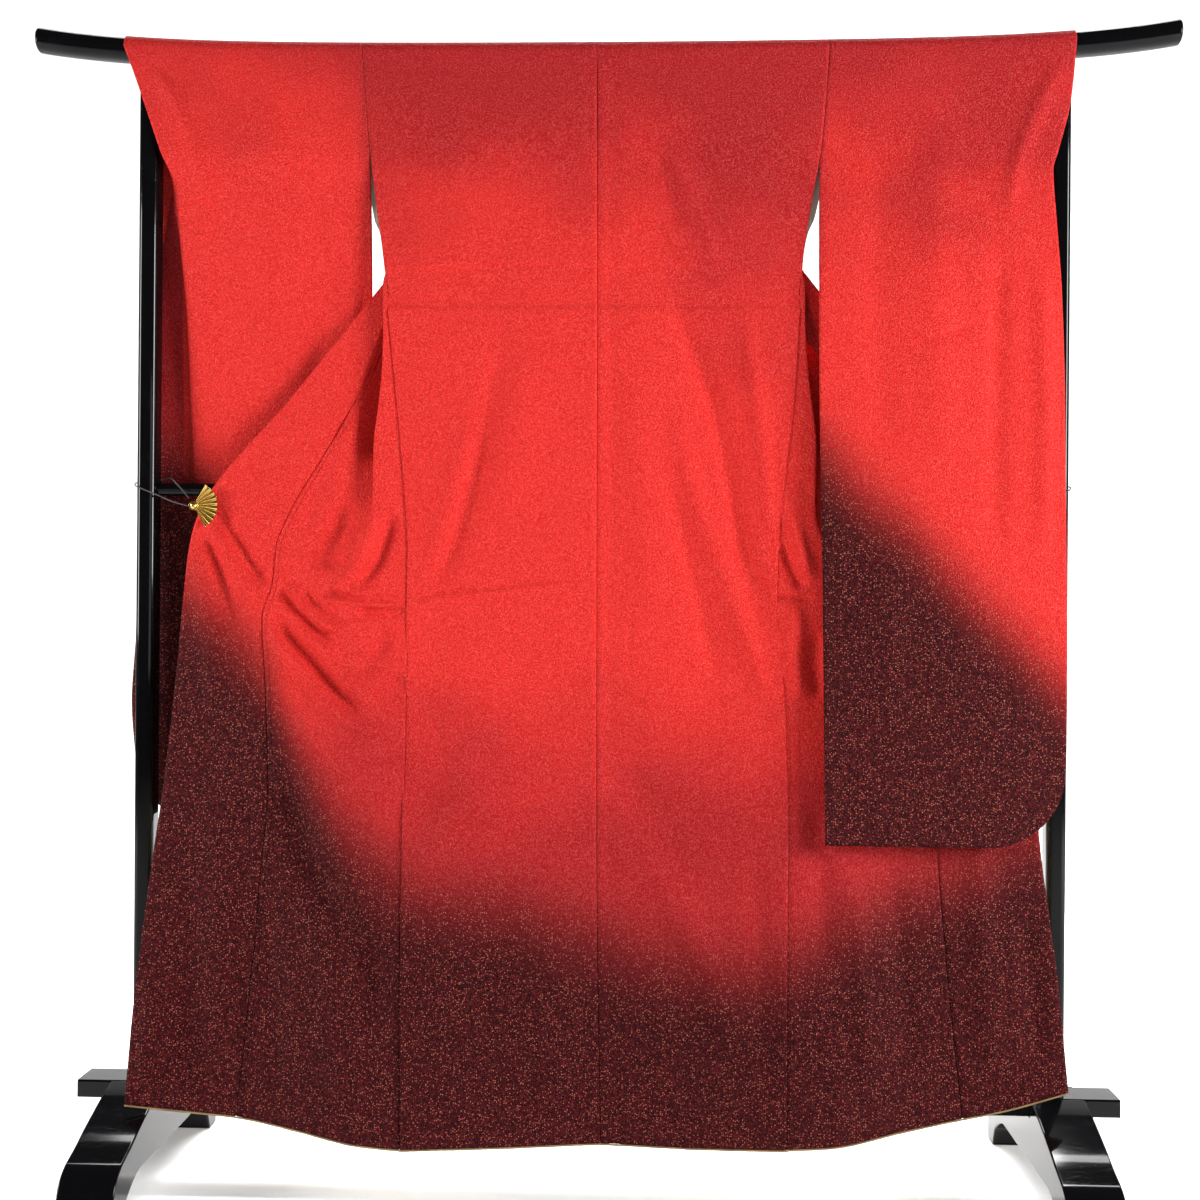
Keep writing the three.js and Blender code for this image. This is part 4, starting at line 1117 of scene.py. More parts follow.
@dataclass
class Sleeve(Cloth):
    """A long sleeve: one length folded over the bar, its near and far layers a hanging bag."""

    flat: tuple[float, float] = (0.35, 2.26)
    foot: float = 490.0
    corner: float = 100.0
    facing: float = 520.0
    rows: int = 190
    cells: int = 92

    def foot_level(self, u: float) -> float:
        """Where a column ends, higher towards the rounded bottom corner.

        Args:
            u: The column's share of the way from the inner edge to the outer one.

        Returns:
            The level.
        """
        near = SLEEVE_NEAR[self.side]
        inner, out = near.column("in")[1], near.column("out")[1]
        reach = max(0.0, lerp(inner, out, u) - (out - self.corner))
        return self.foot + self.corner - math.sqrt(self.corner**2 - reach**2)

    def bends(self, far: bool, z: np.ndarray) -> np.ndarray:
        """Bend points of a layer's sections.

        Args:
            far: Whether it is the far layer.
            z: Levels of the sections.

        Returns:
            Shape (rows, 4, 2).
        """
        near, back = SLEEVE_NEAR[self.side], SLEEVE_FAR[self.side]
        inner = np.maximum(near.read("in", z), BACK_EDGE[self.side].read("out", z) + 2 * SEAM_GAP)
        if far:
            inner = inner + 10 * fade(z, 1330, 1425)
            shares = (("inY", 0.0), ("foldY", 0.4), ("turnY", 0.75), ("outY", 1.0))
            out = back.read("out", z)
            pairs = [(lerp(inner, out, share), back.read(name, z)) for name, share in shares]
        else:
            pairs = [(inner, near.read("inY", z))]
            pairs += [(near.read(n, z), near.read(n + "Y", z)) for n in ("fold", "turn", "out")]
        return np.stack([np.stack(pair, -1) for pair in pairs], 1)

    def layer(self, far: bool, share: np.ndarray) -> np.ndarray:
        """Middle surface of a layer.

        Args:
            far: Whether it is the far layer.
            share: Share of the way from the foot to the bar of each row.

        Returns:
            Shape (rows, columns, 3).
        """
        grid = np.empty((len(share), self.cells + 1, 3))
        for k, column in enumerate(np.linspace(0, 1, self.cells + 1)):
            level = lerp(self.foot_level(column), TOP, share)
            fine = spline(self.bends(far, level), np.linspace(0, 1, 61))
            points = np.array([
                [np.interp(column * along[-1], along, row[:, axis]) for axis in (0, 1)]
                for along, row in zip(running_length(fine), fine)
            ])
            x = self.side.value * points[:, 0]
            grid[:, k] = np.stack([x, points[:, 1], level + bar_rise(level, x)], -1)
        return grid

    def build(self) -> bpy.types.Object:
        """Makes the sleeve, with a deeper red painted as shade at the outer edge of the left one beside the
        post.

        Returns:
            The piece.
        """
        share, bar = np.linspace(0, 0.985, self.rows), np.array([1.0])
        over = wrap_rows(self.layer(False, bar)[0], self.layer(True, bar)[0])
        grid = np.concatenate([self.layer(False, share), over, self.layer(True, share)[::-1]])
        x, z = grid[..., 0], grid[..., 2]
        lift = SLEEVE_FOLDS[self.side].lift(x, z)
        behind = np.arange(len(grid))[:, None] > self.rows
        reach = np.abs(x) - SLEEVE_NEAR[self.side].read("in", z)
        lift = np.where(behind, 0.5 * np.abs(lift), lift) * smoothstep(reach, 2, 20)
        grid = self.settle(grid, lift)
        faced = np.abs(grid[..., 0]) > self.facing
        # Painted shade: the deeper red on the left sleeve's outer strip stands for the shadow behind the
        # post.
        outer = (self.side is Side.LEFT) * smoothstep(np.abs(x), 585, 600) * ~behind
        painted_shade_tone = lerp(CLEAR, PAINTED_SHADE_TONE, outer * fade(z, 1340, 1440))
        unlined = np.full(z.shape, CLEAR)
        mesh = self.shell(grid, dye_depth(grid, self.side), unlined, faced, painted_shade_tone)
        return self.declare(mesh, f"sleeve_{self.side.word}", Held.DRAPED)


@dataclass
class HemRoll:
    """The padded lining rolled out under the hem of one side."""

    name: str
    side: Side
    silk: bpy.types.Material
    high: float = 2.8
    deep: float = 3.0
    back: float = 0.6
    sides: int = 8

    def build(self) -> bpy.types.Object:
        """Makes the roll along the hem of the back, the front and the overlap.

        Returns:
            The piece.
        """
        low = np.array([LOWEST])
        length = BodyLength("", self.side, self.silk, self.silk)
        line = np.concatenate([
            length.back(low)[0], length.front(low)[0][::-1][1:],
            section_rows(self.side, low, np.linspace(-1, 0, 31), SEAM_GAP / 2)[0][::-1][1:],
        ])
        angle = np.linspace(0, 2 * math.pi, self.sides, endpoint=False)
        y = line[:, 1:2] + self.back + self.deep / 2 * np.cos(angle)[None]
        z = line[:, 2:3] - SEAM_GAP - self.high / 2 + self.high / 2 * np.sin(angle)[None]
        rings = np.stack([np.repeat(line[:, :1], self.sides, axis=1), y, z], -1)
        mesh = tube_mesh(self.name, rings, self.silk)
        return seat(self.name, mesh, f"hem_lining_{self.side.word}")


# ------------------------------------------------------------------ the stand
@dataclass
class TopBar:
    """The bar that the garment hangs on, with upturned ends."""

    lacquer: bpy.types.Material
    sides: int = 40
    steps: int = 110
    rounding: float = 4.0

    def build(self) -> bpy.types.Object:
        """Makes the bar, its end edges rounded.

        Returns:
            The piece.
        """
        half = BAR_LENGTH / 2
        turn = np.linspace(0, math.pi / 2, 6)
        drop, along = self.rounding * (1 - np.sin(turn)), self.rounding * (1 - np.cos(turn))
        straight = np.linspace(self.rounding - half, half - self.rounding, self.steps + 1)[1:-1]
        x = np.concatenate([along - half, straight, half - along[::-1]])
        inset = np.concatenate([drop, np.zeros(self.steps - 1), drop[::-1]])
        angle = np.linspace(0, 2 * math.pi, self.sides, endpoint=False)
        radius = (BAR_RADIUS - inset)[:, None]
        y = radius * np.cos(angle)[None]
        z = bar_height(x)[:, None] + radius * np.sin(angle)[None]
        rings = np.stack([np.repeat(x[:, None], self.sides, axis=1), y, z], -1)
        name = "lacquered_top_bar"
        return seat(name, tube_mesh(name, rings, self.lacquer), "top_bar")


@dataclass
class Foot:
    """An arched foot, one thick board with a rounded edge."""

    side: Side
    lacquer: bpy.types.Material
    thick: float = 75.0
    notch: float = 114.7
    notch_half: float = 28.8
    edge: float = 3.0

    def outline(self) -> np.ndarray:
        """The board's outline from the side, with smooth curves above and in the arch.

        Returns:
            Points (y, z) in millimetres.
        """
        half = np.array(FOOT_HALF.rows, float)
        back = spline(half[None, :TOE_ROW], np.linspace(0, 1, 40))[0]
        arch = spline(half[None, TOE_ROW + 1:], np.linspace(0, 1, 24))[0]
        side = np.concatenate([back, half[TOE_ROW: TOE_ROW + 1], arch])
        top = np.array([[-self.notch_half, self.notch], [self.notch_half, self.notch]])
        return np.concatenate([top, side, side[::-1] * np.array([-1.0, 1.0])])

    def build(self) -> bpy.types.Object:
        """Makes the foot.

        Returns:
            The piece.
        """
        shape = bmesh.new()
        x = (self.side.value * POST_CENTRE - self.thick / 2) * LAY
        face = shape.faces.new([shape.verts.new((x, y * LAY, z * LAY)) for y, z in self.outline()])
        grown = bmesh.ops.extrude_face_region(shape, geom=[face])
        moved = [v for v in grown["geom"] if isinstance(v, bmesh.types.BMVert)]
        bmesh.ops.translate(shape, verts=moved, vec=(self.thick * LAY, 0, 0))
        name = f"lacquered_foot_{self.side.word}"
        mesh = close_shape(shape, name, self.lacquer)
        piece = seat(name, mesh, f"foot_{self.side.word}")
        soften(piece, self.edge, 4)
        return piece


@dataclass
class StandFrame:
    """Posts, rail and beam: the frame's own solids, dressed in lacquer."""

    lacquer: bpy.types.Material
    nodes: tuple[str, ...] = ("post_left", "post_right", "middle_rail", "tie_beam")

    def dress(self) -> None:
        """Gives each solid its lacquer."""
        for node in self.nodes:
            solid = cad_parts[node]
            solid.data.materials.clear()
            solid.data.materials.append(self.lacquer)
            LOG.info("%s: lacquered", node)


# ------------------------------------------------------------------ clips
@dataclass
class FanClip:
    """A gilt clip: a pleated fan on a round knuckle, with a flat jaw behind."""

    side: Side
    gilt: bpy.types.Material
    out: float = 562.0
    y: float = -31.0
    height: float = 944.0
    reach: float = 34.0
    spread: float = 2.1
    pleats: int = 9
    pleat_steps: int = 8
    pleat_deep: float = 1.3
    scallop: float = 1.4
    wall: float = 1.2

    def place(self, point: tuple[float, float, float]) -> tuple[float, float, float]:
        """Turns a point of the clip's own space into metres in the frame."""
        x, y, z = point
        return self.side.value * (self.out - x) * LAY, (self.y + y) * LAY, (self.height + z) * LAY

    def fan(self, shape: bmesh.types.BMesh) -> None:
        """Adds the pleated plate, scalloped along its outer edge.

        Args:
            shape: The mesh that is being made.
        """
        radii = (5.0, 8.0, 12.0, 18.0, 24.0, 29.0, 32.0)
        steps, last = self.pleats * self.pleat_steps, len(radii)
        rows = []
        for k in range(steps + 1):
            crest = math.cos(2 * math.pi * k / self.pleat_steps)
            angle = self.spread * (k / steps - 0.5)
            tip = self.reach - self.scallop * (0.5 - 0.5 * crest)
            rows.append([
                (r * math.cos(angle), -self.pleat_deep * min(1.0, r / 20) * crest - 0.5, r * math.sin(angle))
                for r in (*radii, tip)
            ])
        front = [[shape.verts.new(self.place(point)) for point in row] for row in rows]
        back = [[shape.verts.new(self.place((x, y + self.wall, z))) for x, y, z in row] for row in rows]
        for k in range(steps):
            for j in range(last):
                shape.faces.new((front[k][j], front[k + 1][j], front[k + 1][j + 1], front[k][j + 1]))
                shape.faces.new((back[k][j], back[k][j + 1], back[k + 1][j + 1], back[k + 1][j]))
            for j in (0, last):
                shape.faces.new((front[k][j], back[k][j], back[k + 1][j], front[k + 1][j]))
        for k in (0, steps):
            for j in range(last):
                shape.faces.new((front[k][j], front[k][j + 1], back[k][j + 1], back[k][j]))

    def knuckle(self, shape: bmesh.types.BMesh, profile: Table, sides: int = 28) -> None:
        """Adds a turned piece about the clip's own Y axis.

        Args:
            shape: The mesh that is being made.
            profile: Radius and y from one end to the other, with radius 0 at both ends.
            sides: Sides of the turning.
        """
        rings = []
        for radius, y in profile.rows:
            turns = [2 * math.pi * k / sides for k in range(sides if radius else 1)]
            rings.append([
                shape.verts.new(self.place((radius * math.cos(a), y, radius * math.sin(a)))) for a in turns
            ])
        for a, b in zip(rings, rings[1:]):
            for k in range(sides):
                n = (k + 1) % sides
                corners = [a[k % len(a)], a[n % len(a)], b[n % len(b)], b[k % len(b)]]
                shape.faces.new(list(dict.fromkeys(corners)))

    def jaw(self, shape: bmesh.types.BMesh) -> None:
        """Adds the flat jaw behind, a plate that narrows away from the knuckle.

        Args:
            shape: The mesh that is being made.
        """
        a, b, c, d, e, f, g, h = (
            shape.verts.new(self.place((r * math.cos(angle), y, r * math.sin(angle))))
            for y in (13.2, 14.4)
            for r, half in ((4.0, 0.9), (23.0, 0.5))
            for angle in (-half, half)
        )
        quads = (a, b, d, c), (e, g, h, f), (a, e, f, b), (c, d, h, g), (a, c, g, e), (b, f, h, d)
        for quad in quads:
            shape.faces.new(quad)

    def build(self) -> bpy.types.Object:
        """Makes the clip.

        Returns:
            The piece.
        """
        shape = bmesh.new()
        self.fan(shape)
        self.knuckle(shape, KNUCKLE)
        self.jaw(shape)
        name = f"fan_clip_{self.side.word}"
        piece = seat(name, close_shape(shape, name, self.gilt), f"clip_{self.side.word}")
        soften(piece, 0.3, 2)
        return piece


@dataclass
class ElasticLoop:
    """The thin elastic from the clip round its post and back, closed on the clip at both ends."""

    side: Side
    elastic: bpy.types.Material
    radius: float = 0.9
    sides: int = 10
    steps: int = 150
    braid_deep: float = 0.06
    braid_pace: float = 1.9

    def build(self) -> bpy.types.Object:
        """Makes the loop as a tube whose thickness swells with its braid.

        Returns:
            The piece.
        """
        route = np.array(CORD_ROUTE.rows, float) * np.array([self.side.value, 1, 1])
        flat, tall = (spline(route[None, :, k: k + 2], np.linspace(0, 1, self.steps))[0] for k in (0, 1))
        line = np.column_stack([flat, tall[:, 1]])
        run = unit(np.gradient(line, axis=0))
        first = unit(np.cross(run, np.array([0, 0, 1.0])))
        second = np.cross(run, first)
        angle = np.linspace(0, 2 * math.pi, self.sides, endpoint=False)[None, :, None]
        braid = 1 + self.braid_deep * np.cos(np.arange(self.steps) * self.braid_pace)[:, None, None]
        around = first[:, None] * np.cos(angle) + second[:, None] * np.sin(angle)
        name = f"clip_elastic_{self.side.word}"
        mesh = tube_mesh(name, line[:, None] + self.radius * braid * around, self.elastic)
        LOG.info("%s: %.0f mm long", name, running_length(line[None])[0, -1])
        return seat(name, mesh, f"clip_cord_{self.side.word}")


# ------------------------------------------------------------------ shader groups and finishes
class NodeBench:
    """Short ways to make and join shader nodes in one tree."""

    def __init__(self, tree: bpy.types.NodeTree) -> None:
        """Takes the tree to work in."""
        self.tree = tree

    def feed(self, target: bpy.types.NodeSocket, value: object) -> None:
        """Links a socket to an input, or sets a value there.

        Args:
            target: The input.
            value: An output socket, or a value.
        """
        if isinstance(value, bpy.types.NodeSocket):
            self.tree.links.new(value, target)
        else:
            target.default_value = value

    def add(self, kind: str, values: dict | None = None, **settings: object) -> bpy.types.Node:
        """Makes a node.

        Args:
            kind: Blender's name of the node type.
            values: Sockets or values of its inputs, by name or number.
            settings: Properties to set.

        Returns:
            The node.
        """
        node = self.tree.nodes.new(kind)
        for key, value in settings.items():
            setattr(node, key, value)
        for key, value in (values or {}).items():
            self.feed(node.inputs[key], value)
        return node

    def read(self, attribute: str) -> bpy.types.NodeSocket:
        """The value of a mesh attribute."""
        return self.add("ShaderNodeAttribute", attribute_name=attribute).outputs["Fac"]

    def noise(self, place: bpy.types.NodeSocket, **values: object) -> bpy.types.NodeSocket:
        """The value of a noise texture at a place, with its inputs given by name."""
        return self.add("ShaderNodeTexNoise", {"Vector": place, **values}).outputs["Fac"]

    def stretch(self, place: bpy.types.NodeSocket, scale: tuple[float, ...]) -> bpy.types.NodeSocket:
        """Place coordinates scaled along each axis."""
        return self.add("ShaderNodeMapping", {"Vector": place, "Scale": scale}).outputs["Vector"]

    def math(self, operation: str, a: object, b: object, clamp: bool = False) -> bpy.types.NodeSocket:
        """A Math node on two sockets or numbers.

        Args:
            operation: Blender's name of the operation.
            a: First socket or number.
            b: Second socket or number.
            clamp: Whether the result stays from 0 to 1.

        Returns:
            The result's socket.
        """
        node = self.add("ShaderNodeMath", {0: a, 1: b}, operation=operation, use_clamp=clamp)
        return node.outputs["Value"]

    def waver(self, value: bpy.types.NodeSocket, much: float) -> bpy.types.NodeSocket:
        """A value from 0 to 1 as a swing about zero, much wide."""
        return self.math("MULTIPLY", self.math("SUBTRACT", value, 0.5), much)

    def ramp(
        self, source: bpy.types.NodeSocket, low: float, high: float, to_low: float = 0.0, to_high: float = 1.0
    ) -> bpy.types.NodeSocket:
        """Smooth step of a value from one range to another.

        Args:
            source: The value.
            low: Start of its range.
            high: End of its range.
            to_low: Result at the start.
            to_high: Result at the end.

        Returns:
            The result's socket.
        """
        values = {"Value": source, "From Min": low, "From Max": high, "To Min": to_low, "To Max": to_high}
        return self.add("ShaderNodeMapRange", values, interpolation_type="SMOOTHSTEP").outputs["Result"]

    def mix(self, factor: object, a: object, b: object, blend: str = "MIX") -> bpy.types.NodeSocket:
        """Mix of two colours.

        Args:
            factor: Share of the second.
            a: First colour or socket.
            b: Second colour or socket.
            blend: Blender's name of the blend.

        Returns:
            The colour's socket.
        """
        node = self.add("ShaderNodeMix", {"Factor": factor}, data_type="RGBA", blend_type=blend)
        for slot, value in zip([s for s in node.inputs if s.type == "RGBA"], (a, b)):
            self.feed(slot, value if isinstance(value, bpy.types.NodeSocket) else (*value, 1.0))
        return [s for s in node.outputs if s.type == "RGBA"][0]


@dataclass(frozen=True)
class Group:
    """A shader node group being made: its bench, the sockets that it reads and those that it gives."""

    bench: NodeBench
    reads: Mapping[str, bpy.types.NodeSocket]
    gives: Mapping[str, bpy.types.NodeSocket]

    @classmethod
    def start(cls, name: str, numbers: dict[str, float], results: Sequence[str]) -> "Group":
        """Starts a group that reads place coordinates and some numbers.

        Args:
            name: Its name.
            numbers: First value of each number that it reads.
            results: Names of the values that it gives.

        Returns:
            The group to build on.
        """
        tree = bpy.data.node_groups.new(name, "ShaderNodeTree")
        tree.interface.new_socket("Vector", in_out="INPUT", socket_type="NodeSocketVector")
        for label, value in numbers.items():
            socket = tree.interface.new_socket(label, in_out="INPUT", socket_type="NodeSocketFloat")
            socket.default_value = value
        for label in results:
            tree.interface.new_socket(label, in_out="OUTPUT", socket_type="NodeSocketFloat")
        bench = NodeBench(tree)
        return cls(bench, bench.add("NodeGroupInput").outputs, bench.add("NodeGroupOutput").inputs)


def crepe_grain() -> bpy.types.NodeTree:
    """Group: the pebbled surface of crepe, as a height and a mask.

    Returns:
        The group.
    """
    group = Group.start("Crepe grain", {"Scale": 420.0, "Pucker": 0.35}, ("Height", "Mask"))
    bench, place, scale = group.bench, group.reads["Vector"], group.reads["Scale"]
    fine = bench.noise(place, Scale=scale, Detail=0.6, Roughness=0.5, Distortion=0.7)
    half = bench.math("MULTIPLY", scale, 0.45)
    broad = bench.noise(bench.stretch(place, (1.0, 1.0, 0.5)), Scale=half, Detail=2.0, Distortion=1.4)
    pucker = bench.math("MULTIPLY", broad, group.reads["Pucker"])
    bench.feed(group.gives["Height"], bench.math("ADD", fine, pucker))
    bench.feed(group.gives["Mask"], bench.ramp(fine, 0.32, 0.68))
    return bench.tree


def silk_weave() -> bpy.types.NodeTree:
    """Group: the plain weave of lining silk, as a height and a mask of its slubs.

    Returns:
        The group.
    """
    group = Group.start("Silk weave", {"Threads": 900.0}, ("Height", "Mask"))
    bench, place = group.bench, group.reads["Vector"]
    values = {"Vector": place, "Scale": group.reads["Threads"], "Distortion": 0.6, "Detail": 1.0}
    weft, warp = (
        bench.add("ShaderNodeTexWave", values, bands_direction=way).outputs["Fac"] for way in ("X", "Z")
    )
    bench.feed(group.gives["Height"], bench.math("ADD", weft, warp))
    bench.feed(group.gives["Mask"], bench.noise(place, Scale=40.0, Detail=3.0))
    return bench.tree


def fine_wear() -> bpy.types.NodeTree:
    """Group: dust, hair scratches and a slow swell on a smooth hard surface.

    Returns:
        The group.
    """
    group = Group.start("Fine wear", {"Scale": 30.0}, ("Dust", "Scratch", "Height"))
    bench, place, scale = group.bench, group.reads["Vector"], group.reads["Scale"]
    cloud = bench.noise(place, Scale=scale, Detail=6.0, Roughness=0.7)
    streak = bench.noise(bench.stretch(place, (3.0, 40.0, 8.0)), Scale=scale, Detail=3.0, Distortion=0.4)
    bench.feed(group.gives["Dust"], bench.ramp(cloud, 0.55, 0.8))
    bench.feed(group.gives["Scratch"], bench.ramp(streak, 0.62, 0.68))
    bench.feed(group.gives["Height"], bench.noise(place, Scale=9.0, Detail=1.0))
    return bench.tree


@dataclass(frozen=True)
class Shader:
    """A material being made: its bench, its surface shader and its place coordinates."""

    material: bpy.types.Material
    bench: NodeBench
    surface: bpy.types.Node
    place: bpy.types.NodeSocket

    @classmethod
    def start(cls, name: str, values: dict) -> "Shader":
        """Starts a material.

        Args:
            name: Its name.
            values: Values of the surface shader's own sockets.

        Returns:
            The shader to build on.
        """
        material = bpy.data.materials.new(name)
        material.use_nodes = True
        material.node_tree.nodes.clear()
        bench = NodeBench(material.node_tree)
        surface = bench.add("ShaderNodeBsdfPrincipled", values)
        bench.add("ShaderNodeOutputMaterial", {"Surface": surface.outputs["BSDF"]})
        return cls(material, bench, surface, bench.add("ShaderNodeTexCoord").outputs["Object"])

    def use(self, tree: bpy.types.NodeTree, **values: float) -> bpy.types.bpy_prop_collection:
        """Places a shader group at the place coordinates.

        Args:
            tree: The group.
            values: Values of its inputs.

        Returns:
            What the group gives, by name.
        """
        node = self.bench.add("ShaderNodeGroup", node_tree=tree)
        for key, value in {"Vector": self.place, **values}.items():
            self.bench.feed(node.inputs[key], value)
        return node.outputs

    def give(self, name: str, value: bpy.types.NodeSocket) -> None:
        """Feeds one of the surface shader's sockets."""
        self.bench.feed(self.surface.inputs[name], value)

    def bump(self, height: bpy.types.NodeSocket, strength: float, distance: float) -> None:
        """Feeds a height to the surface's normal.

        Args:
            height: The height.
            strength: Strength of the bump.
            distance: Its depth in metres.
        """
        values = {"Strength": strength, "Distance": distance, "Height": height}
        self.give("Normal", self.bench.add("ShaderNodeBump", values).outputs["Normal"])


@dataclass(frozen=True)
class CrepeSilk:
    """Figured crepe, red above and a dark ground of fine spots below the dye line."""

    grain: bpy.types.NodeTree
    red: Colour = (0.74, 0.027, 0.022)
    # a deeper red for the dye, also used for painted shade
    deep_red_and_painted_shade: Colour = (0.34, 0.010, 0.015)
    # painted shade in the grain's hollows, and below it painted glints on the grain's crests
    hollow_painted_shade: Colour = (0.36, 0.003, 0.004)
    crest: Colour = (0.96, 0.17, 0.15)
    ground: Colour = (0.022, 0.0018, 0.0030)
    spot: Colour = (0.105, 0.008, 0.011)
    tan: Colour = (0.60, 0.17, 0.115)

    def red_cloth(
        self, shader: Shader, mask: bpy.types.NodeSocket, cloud: bpy.types.NodeSocket
    ) -> bpy.types.NodeSocket:
        """The red, deeper with the dye and with painted shade, darkened as painted shade in the hollows of
        its grain and lightened as painted glints on its crests.

        Args:
            shader: The material.
            mask: Mask of the grain.
            cloud: Slow unevenness of the dye.

        Returns:
            The colour.
        """
        bench = shader.bench
        # Partly painted shade: this deeper red follows the dye and also stands for shade on the upper garment
        # and beside the left post.
        depth_of_red_and_shade = bench.math("ADD", bench.read("depth_of_red_and_shade"), bench.waver(cloud, 0.5))
        red = bench.mix(bench.ramp(depth_of_red_and_shade, -0.16, 0.22, 0.0, 0.92), self.red, self.deep_red_and_painted_shade)
        # Painted shade: the grain's hollows are darkened.
        red = bench.mix(bench.ramp(mask, 0.5, 0.0, 0.0, 0.36), red, self.hollow_painted_shade)
        # Painted glints: the grain's crests are lightened towards pink.
        return bench.mix(bench.ramp(mask, 0.5, 1.0, 0.0, 0.21), red, self.crest)

    def build(self) -> bpy.types.Material:
        """Makes the material.

        Returns:
            The material.
        """
        shader = Shader.start("crepe_silk", {
            "Roughness": 0.5, "Metallic": 0.15, "Sheen Weight": 0.03, "Sheen Roughness": 0.35,
            "Sheen Tint": (1.0, 0.35, 0.30, 1.0), "Specular IOR Level": 0.12,
            "Specular Tint": (1.0, 0.6, 0.58, 1.0),
        })
        bench, place = shader.bench, shader.place
        grain = shader.use(self.grain, Scale=560.0, Pucker=0.5)
        cloud = bench.noise(place, Scale=5.0, Detail=2.0)
        squiggle = bench.noise(place, Scale=340.0, Detail=2.0, Distortion=1.2)
        dark = bench.mix(bench.ramp(squiggle, 0.44, 0.66), self.ground, self.spot)
        cells = bench.add("ShaderNodeTexVoronoi", {"Vector": place, "Scale": 400.0}).outputs
        chance = bench.add("ShaderNodeSeparateColor", {"Color": cells["Color"]}).outputs["Red"]
        round_dots = bench.ramp(cells["Distance"], 0.44, 0.14)
        dots = bench.math("MULTIPLY", round_dots, bench.ramp(chance, 0.30, 0.90), clamp=True)
        uneven = bench.math("ADD", bench.waver(squiggle, 0.06), bench.waver(cloud, 0.05))
        level = bench.math("ADD", bench.read("dye"), uneven)
        clear = bench.ramp(level, -0.120, 0.085, 1.0, 0.0)
        dyed = bench.math("SUBTRACT", 1.0, bench.math("POWER", clear, 1.7))
        cloth = bench.mix(dyed, self.red_cloth(shader, grain["Mask"], cloud), dark)
        shown = bench.math("MULTIPLY", dots, bench.ramp(level, -0.14, 0.0, 0.0, 0.85))
        shader.give("Base Color", bench.mix(shown, cloth, self.tan))
        shader.give("Roughness", bench.ramp(grain["Mask"], 0.0, 1.0, 0.60, 0.44))
        shader.bump(grain["Height"], 1.0, 0.0018)
        return shader.material


@dataclass(frozen=True)
class LiningSilk:
    """Plain lining silk, off-white above and ochre in the lower part."""

    weave: bpy.types.NodeTree
    upper: Colour = (0.72, 0.68, 0.60)
    lower: Colour = (0.42, 0.27, 0.09)
    slub: Colour = (0.86, 0.84, 0.82)
    even: Colour = (1.0, 1.0, 1.0)

    def build(self) -> bpy.types.Material:
        """Makes the material.

        Returns:
            The material.
        """
        shader = Shader.start("lining_silk", {
            "Roughness": 0.5, "Sheen Weight": 0.15, "Specular IOR Level": 0.4,
        })
        bench = shader.bench
        weave = shader.use(self.weave, Threads=900.0)
        colour = bench.mix(bench.ramp(bench.read("low"), -0.0008, 0.0008), self.upper, self.lower)
        shade = bench.mix(bench.ramp(weave["Mask"], 0.3, 0.75), self.slub, self.even)
        shader.give("Base Color", bench.mix(1.0, colour, shade, "MULTIPLY"))
        shader.give("Roughness", bench.ramp(weave["Mask"], 0.2, 0.8, 0.42, 0.6))
        shader.bump(weave["Height"], 0.25, 0.0002)
        return shader.material


@dataclass(frozen=True)
class HemSilk:
    """Ochre silk rolled over its padding."""

    weave: bpy.types.NodeTree
    ochre: Colour = (0.32, 0.20, 0.07)
    worn: Colour = (0.17, 0.10, 0.04)

    def build(self) -> bpy.types.Material:
        """Makes the material.

        Returns:
            The material.
        """
        shader = Shader.start("hem_silk", {"Roughness": 0.55, "Sheen Weight": 0.2})
        weave = shader.use(self.weave, Threads=1000.0)
        worn = shader.bench.ramp(weave["Mask"], 0.3, 0.8)
        shader.give("Base Color", shader.bench.mix(worn, self.ochre, self.worn))
        shader.bump(weave["Height"], 0.3, 0.0003)
        return shader.material


@dataclass(frozen=True)
class BlackLacquer:
    """Gloss black lacquer over wood, with faint dust and hair scratches."""

    wear: bpy.types.NodeTree
    black: Colour = (0.0025, 0.0025, 0.003)
    dusty: Colour = (0.016, 0.016, 0.018)

    def build(self) -> bpy.types.Material:
        """Makes the material.

        Returns:
            The material.
        """
        shader = Shader.start("black_lacquer", {
            "Roughness": 0.1, "IOR": 1.32, "Specular IOR Level": 0.5,
        })
        bench = shader.bench
        wear = shader.use(self.wear, Scale=26.0)
        dust = bench.math("MULTIPLY", wear["Dust"], 0.25)
        shader.give("Base Color", bench.mix(dust, self.black, self.dusty))
        marks = bench.math("ADD", wear["Dust"], wear["Scratch"], clamp=True)
        shader.give("Roughness", bench.ramp(marks, 0.0, 1.0, 0.07, 0.16))
        shader.bump(wear["Height"], 0.08, 0.002)
        return shader.material


@dataclass(frozen=True)
class GiltMetal:
    """Gilt sheet metal, with darker clouds of wear."""

    wear: bpy.types.NodeTree
    gold: Colour = (0.86, 0.60, 0.17)
    brown: Colour = (0.36, 0.20, 0.05)

    def build(self) -> bpy.types.Material:
        """Makes the material.

        Returns:
            The material.
        """
        shader = Shader.start("gilt_metal", {"Metallic": 1.0, "Roughness": 0.26})
        wear = shader.use(self.wear, Scale=300.0)
        shader.give("Base Color", shader.bench.mix(wear["Dust"], self.gold, self.brown))
        shader.give("Roughness", shader.bench.ramp(wear["Scratch"], 0, 1, 0.22, 0.4))
        shader.bump(wear["Height"], 0.2, 0.0003)
        return shader.material


